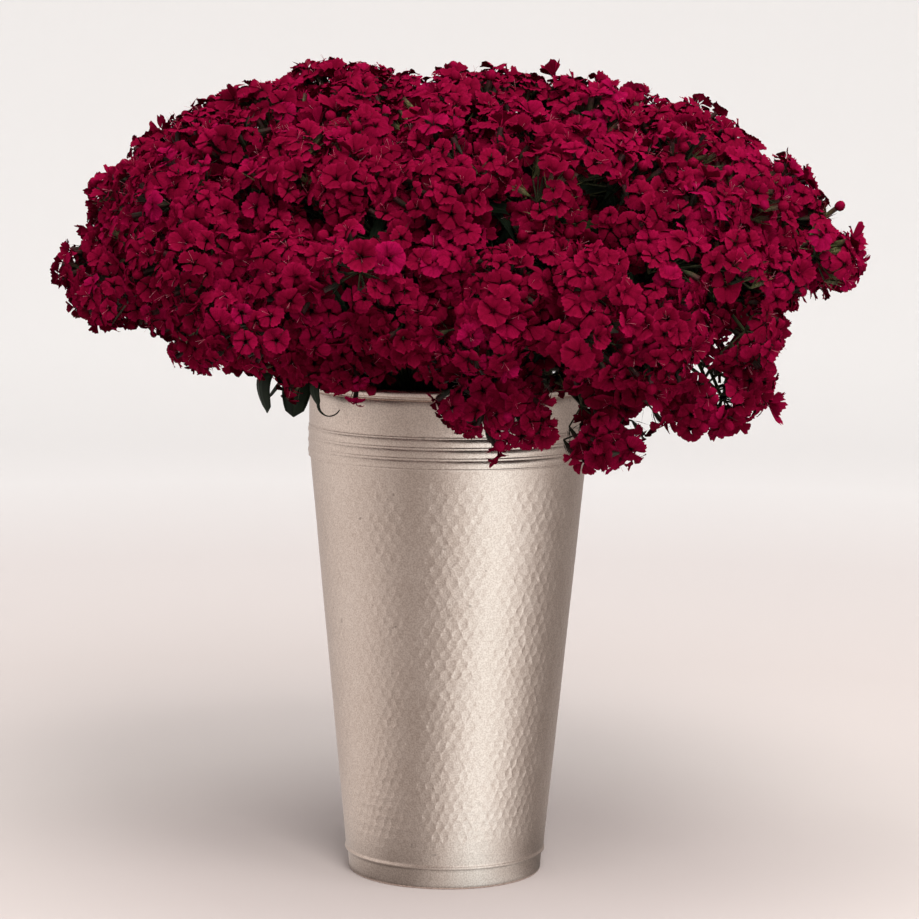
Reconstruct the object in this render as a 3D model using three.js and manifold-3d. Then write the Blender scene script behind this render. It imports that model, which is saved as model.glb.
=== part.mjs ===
// Potted dianthus: a wide mound of clustered flowers on forked stems, rooted in potting soil in a tall
// tapered metal bucket. Millimetres, +Z up. The origin is the centre of the bucket's flat base.
// The front of the plant faces -Y, and its longer droop is at the front and at the right, +X.

import * as THREE from 'three';
import { mergeVertices } from 'three/addons/utils/BufferGeometryUtils.js';
import Module from 'manifold-3d';

const wasm = await Module();
wasm.setup();

// Driving dimensions of the bucket
const bucketHeight = 385;
const wallThickness = 1.6;
const floorThickness = 2;
const footRadius = 75.2;
const footRounding = 1.5;
const footBeadHeight = 17;
const footBeadRadius = 1.3;
const footFlare = 1.2;
const footBeadTurn = 1.2;
const taperBaseRadius = 76;
const taperTopRadius = 107.4;
const collarBottom = 328;
const collarRadius = 108.2;
const grooveHeights = [334, 342, 350];
const grooveDepth = 1;
const grooveHalfWidth = 1.2;
const ribBulge = 1.2;
const lipRadius = 2.2;
const lipStart = -0.9;
const lipTurn = 4.6;
const bucketSides = 40;
const arcSteps = 3;

// Driving dimensions of the plant
const gap = 0.3;
const soilBelowRim = 33;
const moundMiddle = 440;
const moundRise = 187;
const moundSquareness = 2.3;
const moundRadiusLeft = 311;
const moundRadiusRight = 328;
const moundRadiusFront = 285;
const moundRadiusBack = 285;
const clusterOutward = 34;
const clusterInward = 18;
const clusterSquareness = 2.6;
const clusterTurns = 12;
const clusterBands = 8;
const stemRadius = 2.2;
const stemSpread = 0.24;
const stemFlare = 1.25;
const stemRunUp = 34;
const stemArch = 26;
const stemSides = 6;
const stemExtraSteps = 3;
const leafThickness = 1.4;
const leafStations = 7;
const leafLateness = 1.6;
const leafFullness = 0.45;

// Rings of clusters on the mound: how many, how far out from the middle (0 to 1), the first azimuth, and
// how far each cluster reaches round the mound and up its slope
const outerRing = { count: 10, spread: 0.962, firstAzimuth: 0, across: 96, along: 62 };
const middleRing = { count: 7, spread: 0.74, firstAzimuth: 14, across: 116, along: 88 };
const topRing = { count: 5, spread: 0.33, firstAzimuth: 36, across: 104, along: 100 };

// Clusters that hang round the bucket's rim, below the mound: azimuth, distance out and height
const skirtClusters = [
  { azimuth: 0, radius: 225, height: 402 },
  { azimuth: 332, radius: 212, height: 410 },
  { azimuth: 305, radius: 190, height: 386 },
  { azimuth: 278, radius: 178, height: 396 },
  { azimuth: 246, radius: 184, height: 436 },
  { azimuth: 205, radius: 196, height: 440 },
  { azimuth: 160, radius: 196, height: 440 },
  { azimuth: 115, radius: 190, height: 436 },
  { azimuth: 72, radius: 190, height: 432 },
  { azimuth: 34, radius: 202, height: 420 },
];
const skirtReach = { across: 84, along: 60 };
const skirtTilt = 28;

// Leaves: the stem that each grows on, how far along it (0 to 1), how far off it the leaf's base starts, its
// heading, how far out and up its arch reaches, how far out and down its tip lies, and its greatest width
const leafRows = [
  { stem: 6, along: 0.33, standoff: 0.4, heading: 219, arch: 103, rise: 13, reach: 72, drop: 40, width: 18 },
  { stem: 6, along: 0.41, standoff: 0.1, heading: 257, arch: 60, rise: -5, reach: 66, drop: 58, width: 24 },
  { stem: 5, along: 0.35, standoff: 1.2, heading: 231, arch: 89, rise: -2, reach: 62, drop: 33, width: 10 },
  { stem: 7, along: 0.33, standoff: 1.2, heading: 170, arch: 50, rise: 5, reach: 74, drop: 40, width: 16 },
  { stem: 7, along: 0.41, standoff: 1.2, heading: 150, arch: 50, rise: 3, reach: 72, drop: 48, width: 20 },
  { stem: 8, along: 0.33, standoff: 1.2, heading: 126, arch: 48, rise: 5, reach: 70, drop: 38, width: 18 },
  { stem: 8, along: 0.38, standoff: 1.2, heading: 102, arch: 50, rise: 2, reach: 72, drop: 50, width: 20 },
  { stem: 9, along: 0.35, standoff: 1.2, heading: 76, arch: 47, rise: 5, reach: 69, drop: 42, width: 18 },
  { stem: 10, along: 0.35, standoff: 1.2, heading: 54, arch: 46, rise: 5, reach: 67, drop: 46, width: 18 },
];

const material = (color, roughness, metalness) =>
  new THREE.MeshStandardMaterial({ color, roughness, metalness });
const bucketMetal = material(0xc9bdb2, 0.36, 0.9);
const soilBrown = material(0x2b1d14, 0.95, 0);
const stemGreen = material(0x6d7440, 0.6, 0);
const leafGreen = material(0x24401f, 0.55, 0);
const petalCrimson = material(0x7c0028, 0.7, 0);

const part = new THREE.Group();

function addPiece(name, geometry, finish) {
  const mesh = new THREE.Mesh(geometry, finish);
  mesh.name = name;
  part.add(mesh);
}

function heading(azimuth) {
  const angle = THREE.MathUtils.degToRad(azimuth);
  return new THREE.Vector3(Math.cos(angle), Math.sin(angle), 0);
}

const sameCorner = 1e-4;

// Joins and cuts need closed solids whose triangles share their corners
function toSolid(geometry) {
  const bare = geometry.clone();
  bare.deleteAttribute('normal');
  bare.deleteAttribute('uv');
  const merged = mergeVertices(bare, sameCorner);
  const mesh = new wasm.Mesh({
    numProp: 3,
    vertProperties: new Float32Array(merged.attributes.position.array),
    triVerts: new Uint32Array(merged.index.array),
  });
  return new wasm.Manifold(mesh);
}

function toGeometry(solid) {
  const mesh = solid.getMesh();
  const geometry = new THREE.BufferGeometry();
  geometry.setAttribute('position', new THREE.BufferAttribute(mesh.vertProperties, 3));
  geometry.setIndex(new THREE.BufferAttribute(mesh.triVerts, 1));
  geometry.computeVertexNormals();
  return geometry;
}

// A profile of radius and height, turned round the upright axis
function turned(profile) {
  const geometry = new THREE.LatheGeometry(profile, bucketSides);
  return geometry.rotateX(Math.PI / 2);
}

function taperRadius(height) {
  const share = height / collarBottom;
  return THREE.MathUtils.lerp(taperBaseRadius, taperTopRadius, share);
}

function innerRadius(height) {
  const outside = height < collarBottom ? taperRadius(height) : collarRadius;
  return outside - wallThickness;
}

// One thin-walled bucket: foot band and bead, straight taper, ribbed collar and rolled rim
function bucketGeometry() {
  const lipHeight = bucketHeight - lipRadius;
  const profile = new THREE.Path();
  profile.moveTo(0, 0);
  profile.lineTo(footRadius - footRounding, 0);
  profile.lineTo(footRadius, footRounding);
  profile.lineTo(footRadius + footFlare, footBeadHeight - footBeadRadius);
  const beadMiddle = taperRadius(footBeadHeight) - footBeadRadius / 4;
  profile.absarc(beadMiddle, footBeadHeight, footBeadRadius, -footBeadTurn, footBeadTurn);
  const taperBottom = footBeadHeight + 2 * footBeadRadius;
  profile.lineTo(taperRadius(taperBottom), taperBottom);
  profile.lineTo(taperTopRadius, collarBottom);
  for (const height of grooveHeights) {
    const before = height - grooveHalfWidth;
    const after = height + grooveHalfWidth;
    const last = profile.currentPoint;
    profile.quadraticCurveTo(collarRadius + 2 * ribBulge, (last.y + before) / 2, collarRadius, before);
    profile.lineTo(collarRadius - grooveDepth, height);
    profile.lineTo(collarRadius, after);
  }
  profile.lineTo(collarRadius, lipHeight - lipRadius);
  profile.absarc(collarRadius, lipHeight, lipRadius, lipStart, lipStart + lipTurn);
  profile.lineTo(innerRadius(bucketHeight), lipHeight - 2 * lipRadius);
  profile.lineTo(innerRadius(collarBottom), collarBottom);
  profile.lineTo(innerRadius(floorThickness), floorThickness);
  profile.lineTo(0, floorThickness);
  return turned(profile.getPoints(arcSteps));
}

const soilTop = bucketHeight - soilBelowRim;

function soilGeometry() {
  const bottom = floorThickness + gap;
  return turned([
    new THREE.Vector2(0, bottom),
    new THREE.Vector2(innerRadius(bottom) - gap, bottom),
    new THREE.Vector2(innerRadius(collarBottom - gap) - gap, collarBottom),
    new THREE.Vector2(innerRadius(soilTop) - gap, soilTop),
    new THREE.Vector2(0, soilTop),
  ]);
}

// The mound's plan is a rounded oval, wider at the right than at the left
function moundRadius(azimuth) {
  const way = heading(azimuth);
  const sideways = way.x > 0 ? moundRadiusRight : moundRadiusLeft;
  const deep = way.y > 0 ? moundRadiusBack : moundRadiusFront;
  return 1 / Math.hypot(way.x / sideways, way.y / deep);
}

// A cluster that sits under the mound's surface, facing out of it
function moundCluster(azimuth, { spread, across, along }) {
  const reach = moundRadius(azimuth);
  const climb = (1 - spread ** moundSquareness) ** (1 / moundSquareness);
  const surface = heading(azimuth).multiplyScalar(spread * reach);
  surface.z = moundMiddle + moundRise * climb;
  const facing = heading(azimuth).multiplyScalar(spread ** (moundSquareness - 1) / reach);
  facing.z = climb ** (moundSquareness - 1) / moundRise;
  facing.normalize();
  const centre = surface.clone().addScaledVector(facing, -clusterOutward);
  return { centre, facing, across, along };
}

function skirtCluster({ azimuth, radius, height }) {
  const centre = heading(azimuth).multiplyScalar(radius);
  centre.z = height;
  const facing = heading(azimuth);
  facing.z = -Math.tan(THREE.MathUtils.degToRad(skirtTilt));
  facing.normalize();
  return { centre, facing, ...skirtReach };
}

function ringOfClusters(ring) {
  const list = [];
  for (let i = 0; i < ring.count; i += 1) {
    list.push(moundCluster(ring.firstAzimuth + (i * 360) / ring.count, ring));
  }
  return list;
}

// A rounded cushion of flowers: a squarish ball, wide over the mound's surface and thin through it
function clusterCushion({ centre, facing, across, along }) {
  const geometry = new THREE.SphereGeometry(1, clusterTurns, clusterBands);
  const place = geometry.attributes.position;
  const point = new THREE.Vector3();
  for (let i = 0; i < place.count; i += 1) {
    point.fromBufferAttribute(place, i);
    const size = point.toArray().reduce((sum, v) => sum + Math.abs(v) ** clusterSquareness, 0);
    point.divideScalar(size ** (1 / clusterSquareness));
    const through = point.y > 0 ? clusterOutward : clusterInward;
    place.setXYZ(i, point.x * across, point.y * through, point.z * along);
  }
  const sideways = new THREE.Vector3(-facing.y, facing.x, 0).normalize();
  const upwards = new THREE.Vector3().crossVectors(sideways, facing);
  geometry.applyMatrix4(new THREE.Matrix4().makeBasis(sideways, facing, upwards));
  geometry.translate(centre.x, centre.y, centre.z);
  return geometry;
}

// Neighbouring clusters press together halfway between their middles
function clusterSolid(cluster, others) {
  let solid = toSolid(clusterCushion(cluster));
  for (const other of others) {
    const towards = cluster.centre.clone().sub(other.centre);
    const distance = towards.length();
    if (distance > 0 && distance < cluster.across + other.across) {
      towards.normalize();
      const middle = cluster.centre.clone().add(other.centre).multiplyScalar(0.5);
      solid = solid.trimByPlane(towards.toArray(), towards.dot(middle) + gap / 2);
    }
  }
  return solid;
}

// Each cluster of the first list shares a forked stem with the nearest free one of the second list, and
// those left over stand on a stem of their own
function shareStems(firsts, seconds) {
  const free = new Set(seconds);
  const shared = firsts.map((first) => {
    const distance = (other) => other.centre.distanceTo(first.centre);
    const nearest = [...free].reduce((best, other) => (distance(other) < distance(best) ? other : best));
    free.delete(nearest);
    return [first, nearest];
  });
  return [...shared, ...[...free].map((alone) => [alone])];
}

function stemTube(points, steps) {
  const corners = [];
  for (let i = 0; i < stemSides; i += 1) {
    const angle = (i * 2 * Math.PI) / stemSides;
    corners.push(new THREE.Vector2(stemRadius * Math.cos(angle), stemRadius * Math.sin(angle)));
  }
  const path = new THREE.CatmullRomCurve3(points, false, 'centripetal');
  const settings = { steps, bevelEnabled: false, extrudePath: path };
  return new THREE.ExtrudeGeometry(new THREE.Shape(corners), settings);
}

// The points that a stem and its fork pass through, from the soil to the backs of its clusters. The first
// tube is the stem itself, and a second one is its fork.
function stemRoute(carried) {
  const ends = carried.map(({ centre, facing }) => {
    const back = centre.clone().addScaledVector(facing, -clusterInward);
    const aim = back.clone().addScaledVector(facing, -stemRunUp);
    aim.z += stemArch;
    return { facing, back, aim };
  });
  const middle = ends[0].back.clone().lerp(ends.at(-1).back, 0.5);
  const root = new THREE.Vector3(middle.x * stemSpread, middle.y * stemSpread, soilTop - gap);
  const rise = new THREE.Vector3(root.x * stemFlare, root.y * stemFlare, soilTop + stemRunUp);
  const fork = rise.clone().lerp(ends[0].aim.clone().lerp(ends.at(-1).aim, 0.5), 0.5);
  const tubes = ends.map(({ aim, back }) => [fork, aim, back]);
  tubes[0].unshift(root, rise);
  return { ends, tubes };
}

// A stem stops just short of the soil below it and of the clusters that it carries
function stemGeometry({ ends, tubes }) {
  let stem = null;
  ends.forEach(({ facing, back }, i) => {
    const inwards = facing.clone().negate();
    const tube = toSolid(stemTube(tubes[i], tubes[i].length + stemExtraSteps));
    const stopped = tube.trimByPlane(inwards.toArray(), inwards.dot(back) + gap);
    stem = stem ? stem.add(stopped) : stopped;
  });
  return toGeometry(stem.trimByPlane([0, 0, 1], soilTop + gap));
}

// A blunt leaf with a diamond section, widest past its middle, along a curve that droops towards its tip
function leafGeometry(row, route) {
  const way = heading(row.heading);
  const stem = new THREE.CatmullRomCurve3(route.tubes[0], false, 'centripetal');
  const start = stem.getPoint(row.along).addScaledVector(way, stemRadius + gap + row.standoff);
  const middle = start.clone().addScaledVector(way, row.arch);
  middle.z += row.rise;
  const tip = start.clone().addScaledVector(way, row.reach);
  tip.z -= row.drop;
  const spine = new THREE.QuadraticBezierCurve3(start, middle, tip);
  const side = new THREE.Vector3(-way.y, way.x, 0);
  const positions = [...start.toArray()];
  for (let i = 1; i < leafStations; i += 1) {
    const t = i / leafStations;
    const half = (row.width / 2) * Math.sin(Math.PI * t ** leafLateness) ** leafFullness;
    const centre = spine.getPoint(t);
    const up = new THREE.Vector3().crossVectors(spine.getTangent(t), side).normalize();
    for (const [across, over] of [[1, 0], [0, 1], [-1, 0], [0, -1]]) {
      const corner = centre.clone().addScaledVector(side, across * half);
      corner.addScaledVector(up, (over * leafThickness) / 2);
      positions.push(...corner.toArray());
    }
  }
  positions.push(...tip.toArray());
  const last = positions.length / 3 - 1;
  const faces = [];
  for (let k = 0; k < 4; k += 1) {
    const next = (k + 1) % 4;
    faces.push(0, 1 + next, 1 + k);
    for (let i = 0; i < leafStations - 2; i += 1) {
      const near = 1 + 4 * i;
      const far = near + 4;
      faces.push(near + k, near + next, far + k, near + next, far + next, far + k);
    }
    faces.push(last, last - 4 + k, last - 4 + next);
  }
  const geometry = new THREE.BufferGeometry();
  geometry.setAttribute('position', new THREE.Float32BufferAttribute(positions, 3));
  geometry.setIndex(faces);
  geometry.computeVertexNormals();
  return geometry;
}

function numbered(name, index) {
  return `${name}_${String(index + 1).padStart(2, '0')}`;
}

addPiece('bucket', bucketGeometry(), bucketMetal);
addPiece('potting_soil', soilGeometry(), soilBrown);

const skirt = skirtClusters.map(skirtCluster);
const [outer, middle, top] = [outerRing, middleRing, topRing].map(ringOfClusters);
const clusters = [...skirt, ...outer, ...middle, ...top];
clusters.forEach((cluster, i) => {
  addPiece(numbered('flower_cluster', i), toGeometry(clusterSolid(cluster, clusters)), petalCrimson);
});

const routes = [...shareStems(skirt, outer), ...shareStems(top, middle)].map(stemRoute);
routes.forEach((route, i) => addPiece(numbered('stem', i), stemGeometry(route), stemGreen));

leafRows.forEach((row, i) => {
  addPiece(numbered('leaf', i), leafGeometry(row, routes[row.stem - 1]), leafGreen);
});

export default part;
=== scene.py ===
from math import cos, pi, radians, sin

import bpy
import numpy as np
from mathutils import Matrix, Vector


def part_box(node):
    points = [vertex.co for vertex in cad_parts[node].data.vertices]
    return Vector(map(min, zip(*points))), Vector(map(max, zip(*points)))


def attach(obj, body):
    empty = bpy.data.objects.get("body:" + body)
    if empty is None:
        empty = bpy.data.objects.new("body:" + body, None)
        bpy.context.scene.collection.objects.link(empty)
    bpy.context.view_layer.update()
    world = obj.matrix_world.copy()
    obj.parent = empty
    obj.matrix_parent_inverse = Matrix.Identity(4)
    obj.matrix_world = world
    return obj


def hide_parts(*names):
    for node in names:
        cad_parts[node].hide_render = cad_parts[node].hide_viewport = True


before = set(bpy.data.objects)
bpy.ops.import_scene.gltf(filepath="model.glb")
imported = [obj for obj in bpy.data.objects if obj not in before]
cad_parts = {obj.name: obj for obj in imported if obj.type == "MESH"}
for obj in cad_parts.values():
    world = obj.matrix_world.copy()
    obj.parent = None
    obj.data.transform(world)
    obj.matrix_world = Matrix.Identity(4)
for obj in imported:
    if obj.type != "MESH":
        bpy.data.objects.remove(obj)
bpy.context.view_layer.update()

# The camera stands where the photograph was taken from. Pixels count from the photograph's upper left corner.
CAMERA_PLACE = (0.0086, -2.2684, 0.572)
CAMERA_PITCH = radians(6.28)
CAMERA_ROLL = radians(0.585)
CAMERA_LENS = 115.04
SENSOR_WIDTH = 36
PHOTO_SIDE = 919
FOCAL_PIXELS = CAMERA_LENS / SENSOR_WIDTH * PHOTO_SIDE
CAMERA_TURN = Matrix.Rotation(pi / 2 - CAMERA_PITCH, 3, "X") @ Matrix.Rotation(CAMERA_ROLL, 3, "Z")

# Bucket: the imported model's own sizes, and the finer steps, ribs and hammer marks
BUCKET_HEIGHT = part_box("bucket")[1].z
FOOT_RADIUS = 0.0752
FOOT_ROUNDING = 0.0015
FOOT_TOP_RADIUS = 0.0764
BEAD_HEIGHT = 0.017
BEAD_RADIUS = 0.0013
BEAD_TURN = 1.2
TAPER_BASE_RADIUS = 0.076
TAPER_TOP_RADIUS = 0.1074
TAPER_TOP = 0.328
COLLAR_RADIUS = 0.1082
COLLAR_BOTTOM = 0.326
RIBS_TOP = 0.350
RIB_PITCH = 0.008
RIB_RISE = 0.0008
RIB_BLUNTNESS = 0.85
GROOVE_DEPTH = 0.0007
BEADING = 0.0011
BEADING_HALF = 0.0006
LIP_RADIUS = 0.0030
LIP_TURN = (-1.8, 3.7)
LIP_UNDERCUT = 0.0010
WALL = 0.0016
FLOOR_THICKNESS = 0.002
COLLAR_STEP = 0.00045
DENT_COLUMNS = 72
BUCKET_COLUMNS = 2 * DENT_COLUMNS
DENT_ROWS = 38
DENT_DEPTH = 0.00028
DENT_VARIATION = (0.55, 1.3)
DENT_SHOULDER = 0.32
DENT_SLOPE = 0.3
DENT_TILT = 0.25
DENT_JITTER = 0.17
DENT_WOBBLE = 0.00004
DENT_CORNER = 0.80
DENT_SIDE = 0.89
DENTS_BOTTOM = 0.022
DENTS_TOP = 0.3240
DENTS_FADE = 2.5
DENTS_SEAM = 0.0008
SWELL = 0.00012
SWELL_WAVES = ((3, 17), (7, -41), (12, 60))
SWELL_FADE = 0.02

# Soil
SOIL_GAP = 0.0003
SOIL_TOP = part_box("potting_soil")[1].z
SOIL_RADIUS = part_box("potting_soil")[1].x
SOIL_ROUGHNESS = 0.0016
SOIL_RINGS = 26
SOIL_COLUMNS = 96

# Mound of flower heads: its middle height, how far it reaches from there, and how full its shoulders are
MOUND_MIDDLE = 0.440
MOUND_RISE = 0.186
MOUND_DROP = 0.046
MOUND_DROP_SWING = 0.020
MOUND_DROP_AZIMUTH = 300
MOUND_LEFT = 0.302
MOUND_RIGHT = 0.318
MOUND_DEEP = 0.284
MOUND_SQUARENESS = 2.25
UNDERSIDE_START = 0.74
UNDERSIDE_TURN = 0.5

# Flower heads: each is a cap of flowers round the point where its stem ends
CANDIDATES = 6000
UPPER_SHARE = 0.78
EDGE_SHARE = 0.35
EDGE_WIDTH = 0.12
HEAD_RADIUS = (0.028, 0.037)
HEAD_SPREAD = (radians(68), radians(84))
HANGING_CANDIDATES = 1500
HANGING_ACROSS = (572, 792)
HANGING_DOWN = (335, 450)
HANGING_INWARDS = (0.92, 0.62)
HANGING_SIDEWAYS = 0.7
HANGING_UPWARDS = 0.05
PIXELS_PER_METRE = 1300
HEAD_SPACING = 0.054
HEAD_SPACING_LEAST = 0.045
HEAD_UNEVENNESS = 0.035
HANGING_SPACING = 0.036
DEEP_HEAD_DEPTH = (0.030, 0.044)
DEEP_HEAD_SPACING = 0.050
DEEP_HEAD_MARGIN = 22
# How much darker the flowers of deep heads are: painted shade for the crevices between the outer heads
DEEP_PAINTED_SHADE = 0.45
HEAD_SHADES = 0.25
FLOWER_SHADES = (0.5, 0.2)
FLOWER_AREA = 0.000155
DEEP_FLOWER_AREA = 0.00026
FLOWER_CLEARANCE = 0.0072
HEAD_ROUGHNESS = 0.085
TILT_SCATTER = 0.05
TURN_SCATTER = 0.12
AXIS_TOWARDS_HEAD = 0.30
AXIS_SCATTER = 0.34
COVER_REACH = 0.020
COVER_HEIGHT = 0.007
COVER_COUNT = 2
GOLDEN_TURN = pi * (3 - 5 ** 0.5)

# Flowers. Petals are rows of points: how far along, half the width there, and how many points
FLOWER_RADIUS = 0.0090
FLOWER_VARIATION = 0.16
FLOWER_SIZES = (0.72, 1.3)
PETALS = 5
PETAL_ROWS = ((0.00, 0.00, 1), (0.16, 0.13, 2), (0.52, 0.42, 3), (0.84, 0.58, 5), (1.00, 0.45, 7))
DEEP_PETAL_ROWS = ((0.00, 0.00, 1), (0.55, 0.46, 3), (1.00, 0.45, 5))
PETAL_VARIATION = 0.05
PETAL_BREADTH = (0.86, 1.08)
PETAL_ROUNDING = 0.13
TOOTH = 0.040
TOOTH_VARIATION = 0.030
CLOSING_SHARE = 0.12
CLOSING_LIFT = (0.4, 0.9)
THROAT_RADIUS = 0.0010
THROAT_DEPTH = 0.0024
THROAT_WIDTH = 0.06
CALYX_LENGTH = 0.015
CALYX_RADIUS = 0.0021
CALYX_SIDES = 4
PEDICEL_RADIUS = 0.0008
BUD_SHARE = 0.04
BUD_RADIUS = 0.0040
BUD_SECTION = (
    (0.2857, 0.0035), (0.8095, 0.0050), (1.0, 0.0075), (0.8571, 0.0098), (0.4762, 0.0115), (0.0476, 0.0120),
)
BUD_SINK = 0.006
BUD_SIDES = 10
BUD_FOLDS = 0.10
BRACTS = 5
BRACT_LENGTH = 0.015
BRACT_WIDTH = 0.0011
BRACT_SIZES = (0.7, 1.25)
BRACT_LEANS = (0.25, 0.9)
BRACT_MIDDLE = 0.35
BRACT_BULGE = 0.0008
STAMEN_SHARE = 0.36
STAMENS = 2
STAMEN_STATIONS = 3
STAMEN_LENGTH = 0.0070
STAMEN_RADIUS = 0.00010
STAMEN_SIZES = (0.6, 1.2)
STAMEN_LEANS = (0.1, 0.7)
STAMEN_CURLS = (-0.5, 1.2)

# How petals stand: mean and spread over whole flowers and over single petals
FLOWER_LIFT = (0.10, 0.22)
PETAL_LIFT = (0.0, 0.18)
FLOWER_DROOP = (0.22, 0.14)
PETAL_DROOP = (0.0, 0.08)
PETAL_TWIST = (0.15, 0.12)
PETAL_FOLD = (0.08, 0.22)
PETAL_SWING = 0.06

# How wavy petals are: least and most, as a share of their length
PETAL_RUFFLE = (0.03, 0.08)
PETAL_CRINKLE = (0.02, 0.06)

# Stems and the leaves along them
STEM_RADIUS = 0.0021
STEM_TIP_RADIUS = 0.0013
STEM_SIDES = 5
STEM_RINGS = 12
STEM_NODES = (0.42, 0.64, 0.84)
STEM_NODE_SWELL = 0.3
STEM_NODE_REACH = 0.03
STEM_CLIMB = 0.10
STEM_LEAN = 0.35
STEM_APPROACH = 0.07
STEM_ARCH = 0.035
ROOT_SCATTER = 0.010
ROOT_DEPTH = 0.002
ROOT_BAND = 0.002
LEAF_LENGTH = (0.074, 0.040)
LEAF_WIDTH = (0.013, 0.008)
LEAF_FOLD = 0.35
LEAF_THICKNESS = 0.0005
LEAF_STATIONS = 5
FOLIAGE_LEVEL = 0.74
WALL_CLEARANCE = 0.012
RIM_CLEARANCE = 0.004
BLADE_STATIONS = 22
BLADE_LATENESS = 1.6
BLADE_FULLNESS = 0.38
BLADE_FOLD = 0.28
BLADE_THICKNESS = 0.0009
BLADE_COLUMNS = 6
BLADE_END = 0.0005
BLADE_TINTS = (0.20, 0.84)
CURLED_LEAF = "leaf_03"
CURL_RADIUS = 0.0085
CURL_TURN = 2.7
CURL_STEPS = 12
CURL_WIDTH = 0.0016

# The plant's outline in the photograph, clockwise from its left tip: pixel across, pixel down, and depth,
# which is the flowers' Y
OUTLINE = (
    (51, 282, 0.0), (56, 262, 0.0), (66, 246, 0.0), (84, 241, 0.0), (86, 214, 0.0), (90, 186, 0.0),
    (104, 166, 0.0), (126, 158, 0.0), (134, 140, 0.0), (156, 118, 0.0), (186, 110, 0.0), (200, 96, 0.0),
    (240, 78, 0.01), (284, 76, 0.01), (300, 62, 0.02), (322, 55, 0.02), (345, 53, 0.02), (365, 62, 0.02),
    (400, 66, 0.02), (425, 72, 0.02), (460, 63, 0.02), (520, 66, 0.02), (580, 70, 0.02), (612, 78, 0.02),
    (640, 92, 0.02), (668, 95, 0.01), (712, 96, 0.01), (736, 124, 0.0), (762, 138, 0.0), (790, 152, 0.0),
    (812, 182, 0.0), (828, 196, 0.0), (836, 222, 0.0), (860, 238, 0.0), (872, 264, 0.0), (862, 288, 0.0),
    (836, 292, -0.02), (812, 294, -0.04), (796, 306, -0.05), (782, 330, -0.07), (784, 352, -0.08),
    (775, 384, -0.09), (768, 424, -0.11), (754, 436, -0.13), (716, 438, -0.14), (690, 441, -0.15),
    (664, 428, -0.15), (642, 440, -0.16), (636, 462, -0.17), (618, 470, -0.17), (592, 468, -0.17),
    (576, 472, -0.17), (564, 448, -0.17), (576, 424, -0.17), (578, 398, -0.14), (556, 396, -0.15),
    (560, 430, -0.19), (542, 450, -0.20), (490, 456, -0.20), (466, 446, -0.20), (440, 426, -0.20),
    (424, 390, -0.17), (398, 376, -0.13), (372, 404, -0.13), (346, 412, -0.13), (318, 388, -0.13),
    (302, 390, -0.12), (292, 406, -0.11), (276, 400, -0.10), (262, 372, -0.09), (248, 382, -0.08),
    (228, 370, -0.07), (222, 352, -0.06), (218, 376, -0.05), (202, 378, -0.05), (172, 366, -0.04),
    (166, 338, -0.02), (150, 332, -0.01), (130, 324, 0.0), (104, 332, 0.0), (84, 320, 0.0), (68, 308, 0.0),
)
OUTLINE_MIDDLE = (460, 290)
OUTLINE_STEP = 38
OUTLINE_INSET = 7
OUTLINE_MARGIN = 10
OUTLINE_SLACK = 2
OUTLINE_TURN = 0.65
OUTLINE_TOWARDS = (-0.25, 0.1)

# Round gaps in the flowers in the photograph: pixel across, pixel down, radius
OPEN_GAPS = (
    (88, 260, 3), (160, 309, 2), (192, 324, 3), (609, 348, 8), (704, 363, 4), (713, 378, 3), (731, 337, 5),
    (724, 400, 7), (653, 413, 4), (630, 427, 3), (318, 405, 3), (518, 423, 4), (484, 437, 3), (551, 410, 2),
    (679, 424, 2), (757, 422, 2),
)
DARK_GAPS = (
    (422, 101, 8), (480, 136, 15), (529, 169, 10), (514, 202, 7), (321, 216, 8), (368, 233, 10),
    (426, 226, 6), (343, 288, 9), (538, 260, 7), (600, 190, 12), (628, 204, 7), (714, 153, 10),
    (803, 217, 6), (743, 291, 11), (642, 276, 6), (688, 261, 6), (768, 157, 4), (408, 382, 9),
    (250, 190, 6), (215, 300, 6), (555, 375, 10), (180, 262, 5), (470, 118, 6),
)
GAP_REACH = 8
DARK_GAP_REACH = 6
DARK_GAP_DEPTH = 0.10
HEAD_LEAST = 3

# Buds that show in the photograph: pixel across, pixel down, depth. The green ones stand in tufts.
RED_BUDS = (
    (838, 207, 0.0), (851, 241, 0.0), (800, 176, 0.0), (126, 166, 0.0), (455, 68, 0.02), (96, 184, 0.0),
)
GREEN_TUFTS = (
    (796, 214, -0.01), (812, 218, 0.0), (826, 214, 0.0), (843, 276, -0.01), (848, 270, 0.0),
    (714, 154, -0.12), (140, 328, -0.01), (214, 356, -0.05), (250, 188, -0.12), (563, 378, -0.15),
    (610, 338, -0.2), (186, 330, -0.1), (226, 330, -0.12),
)
TUFT_BUDS = 3
TUFT_SCATTER = 0.005
BUD_LEAN = 0.3
BUD_SHADE = 0.8
RED_BUD_GREEN = 0.6

# What grows at a flower's place
OPEN = 0
HIDDEN = 1
RED_BUD = 2
GREEN_BUD = 3

# Floor and wall, and panels all round that only reflections see. A panel's tone goes with its azimuth from
# the front, where 90 is the right.
STAGE_RINGS = (0.6, 1.5)
STAGE_FLAT = 3.2
STAGE_WALL = 5.8
STAGE_HEIGHT = 5.5
STAGE_COLUMNS = 72
PANEL_TONES = (
    (-180, 0.50), (-130, 0.55), (-95, 0.76), (-65, 0.66), (-35, 0.36), (-10, 0.38), (12, 0.85), (36, 1.30),
    (60, 0.95), (80, 0.42), (105, 0.22), (140, 0.36), (180, 0.50),
)
PANEL_DISTANCE = 0.42
PANEL_FOOT = 0.0762
# Out to these radii the panels darken towards the bucket's foot, as painted shadow
PANEL_EDGE = 0.0792
PANEL_SHADE = 0.22
PANEL_SWING = 0.24
PANEL_LIFT = 0.0005
PANEL_HEIGHT = 1.0
PANEL_COLUMNS = 48
PANEL_DARK = (1.0, 0.885, 0.835)
PANEL_BRIGHT = (1.0, 1.08, 1.10)

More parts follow.
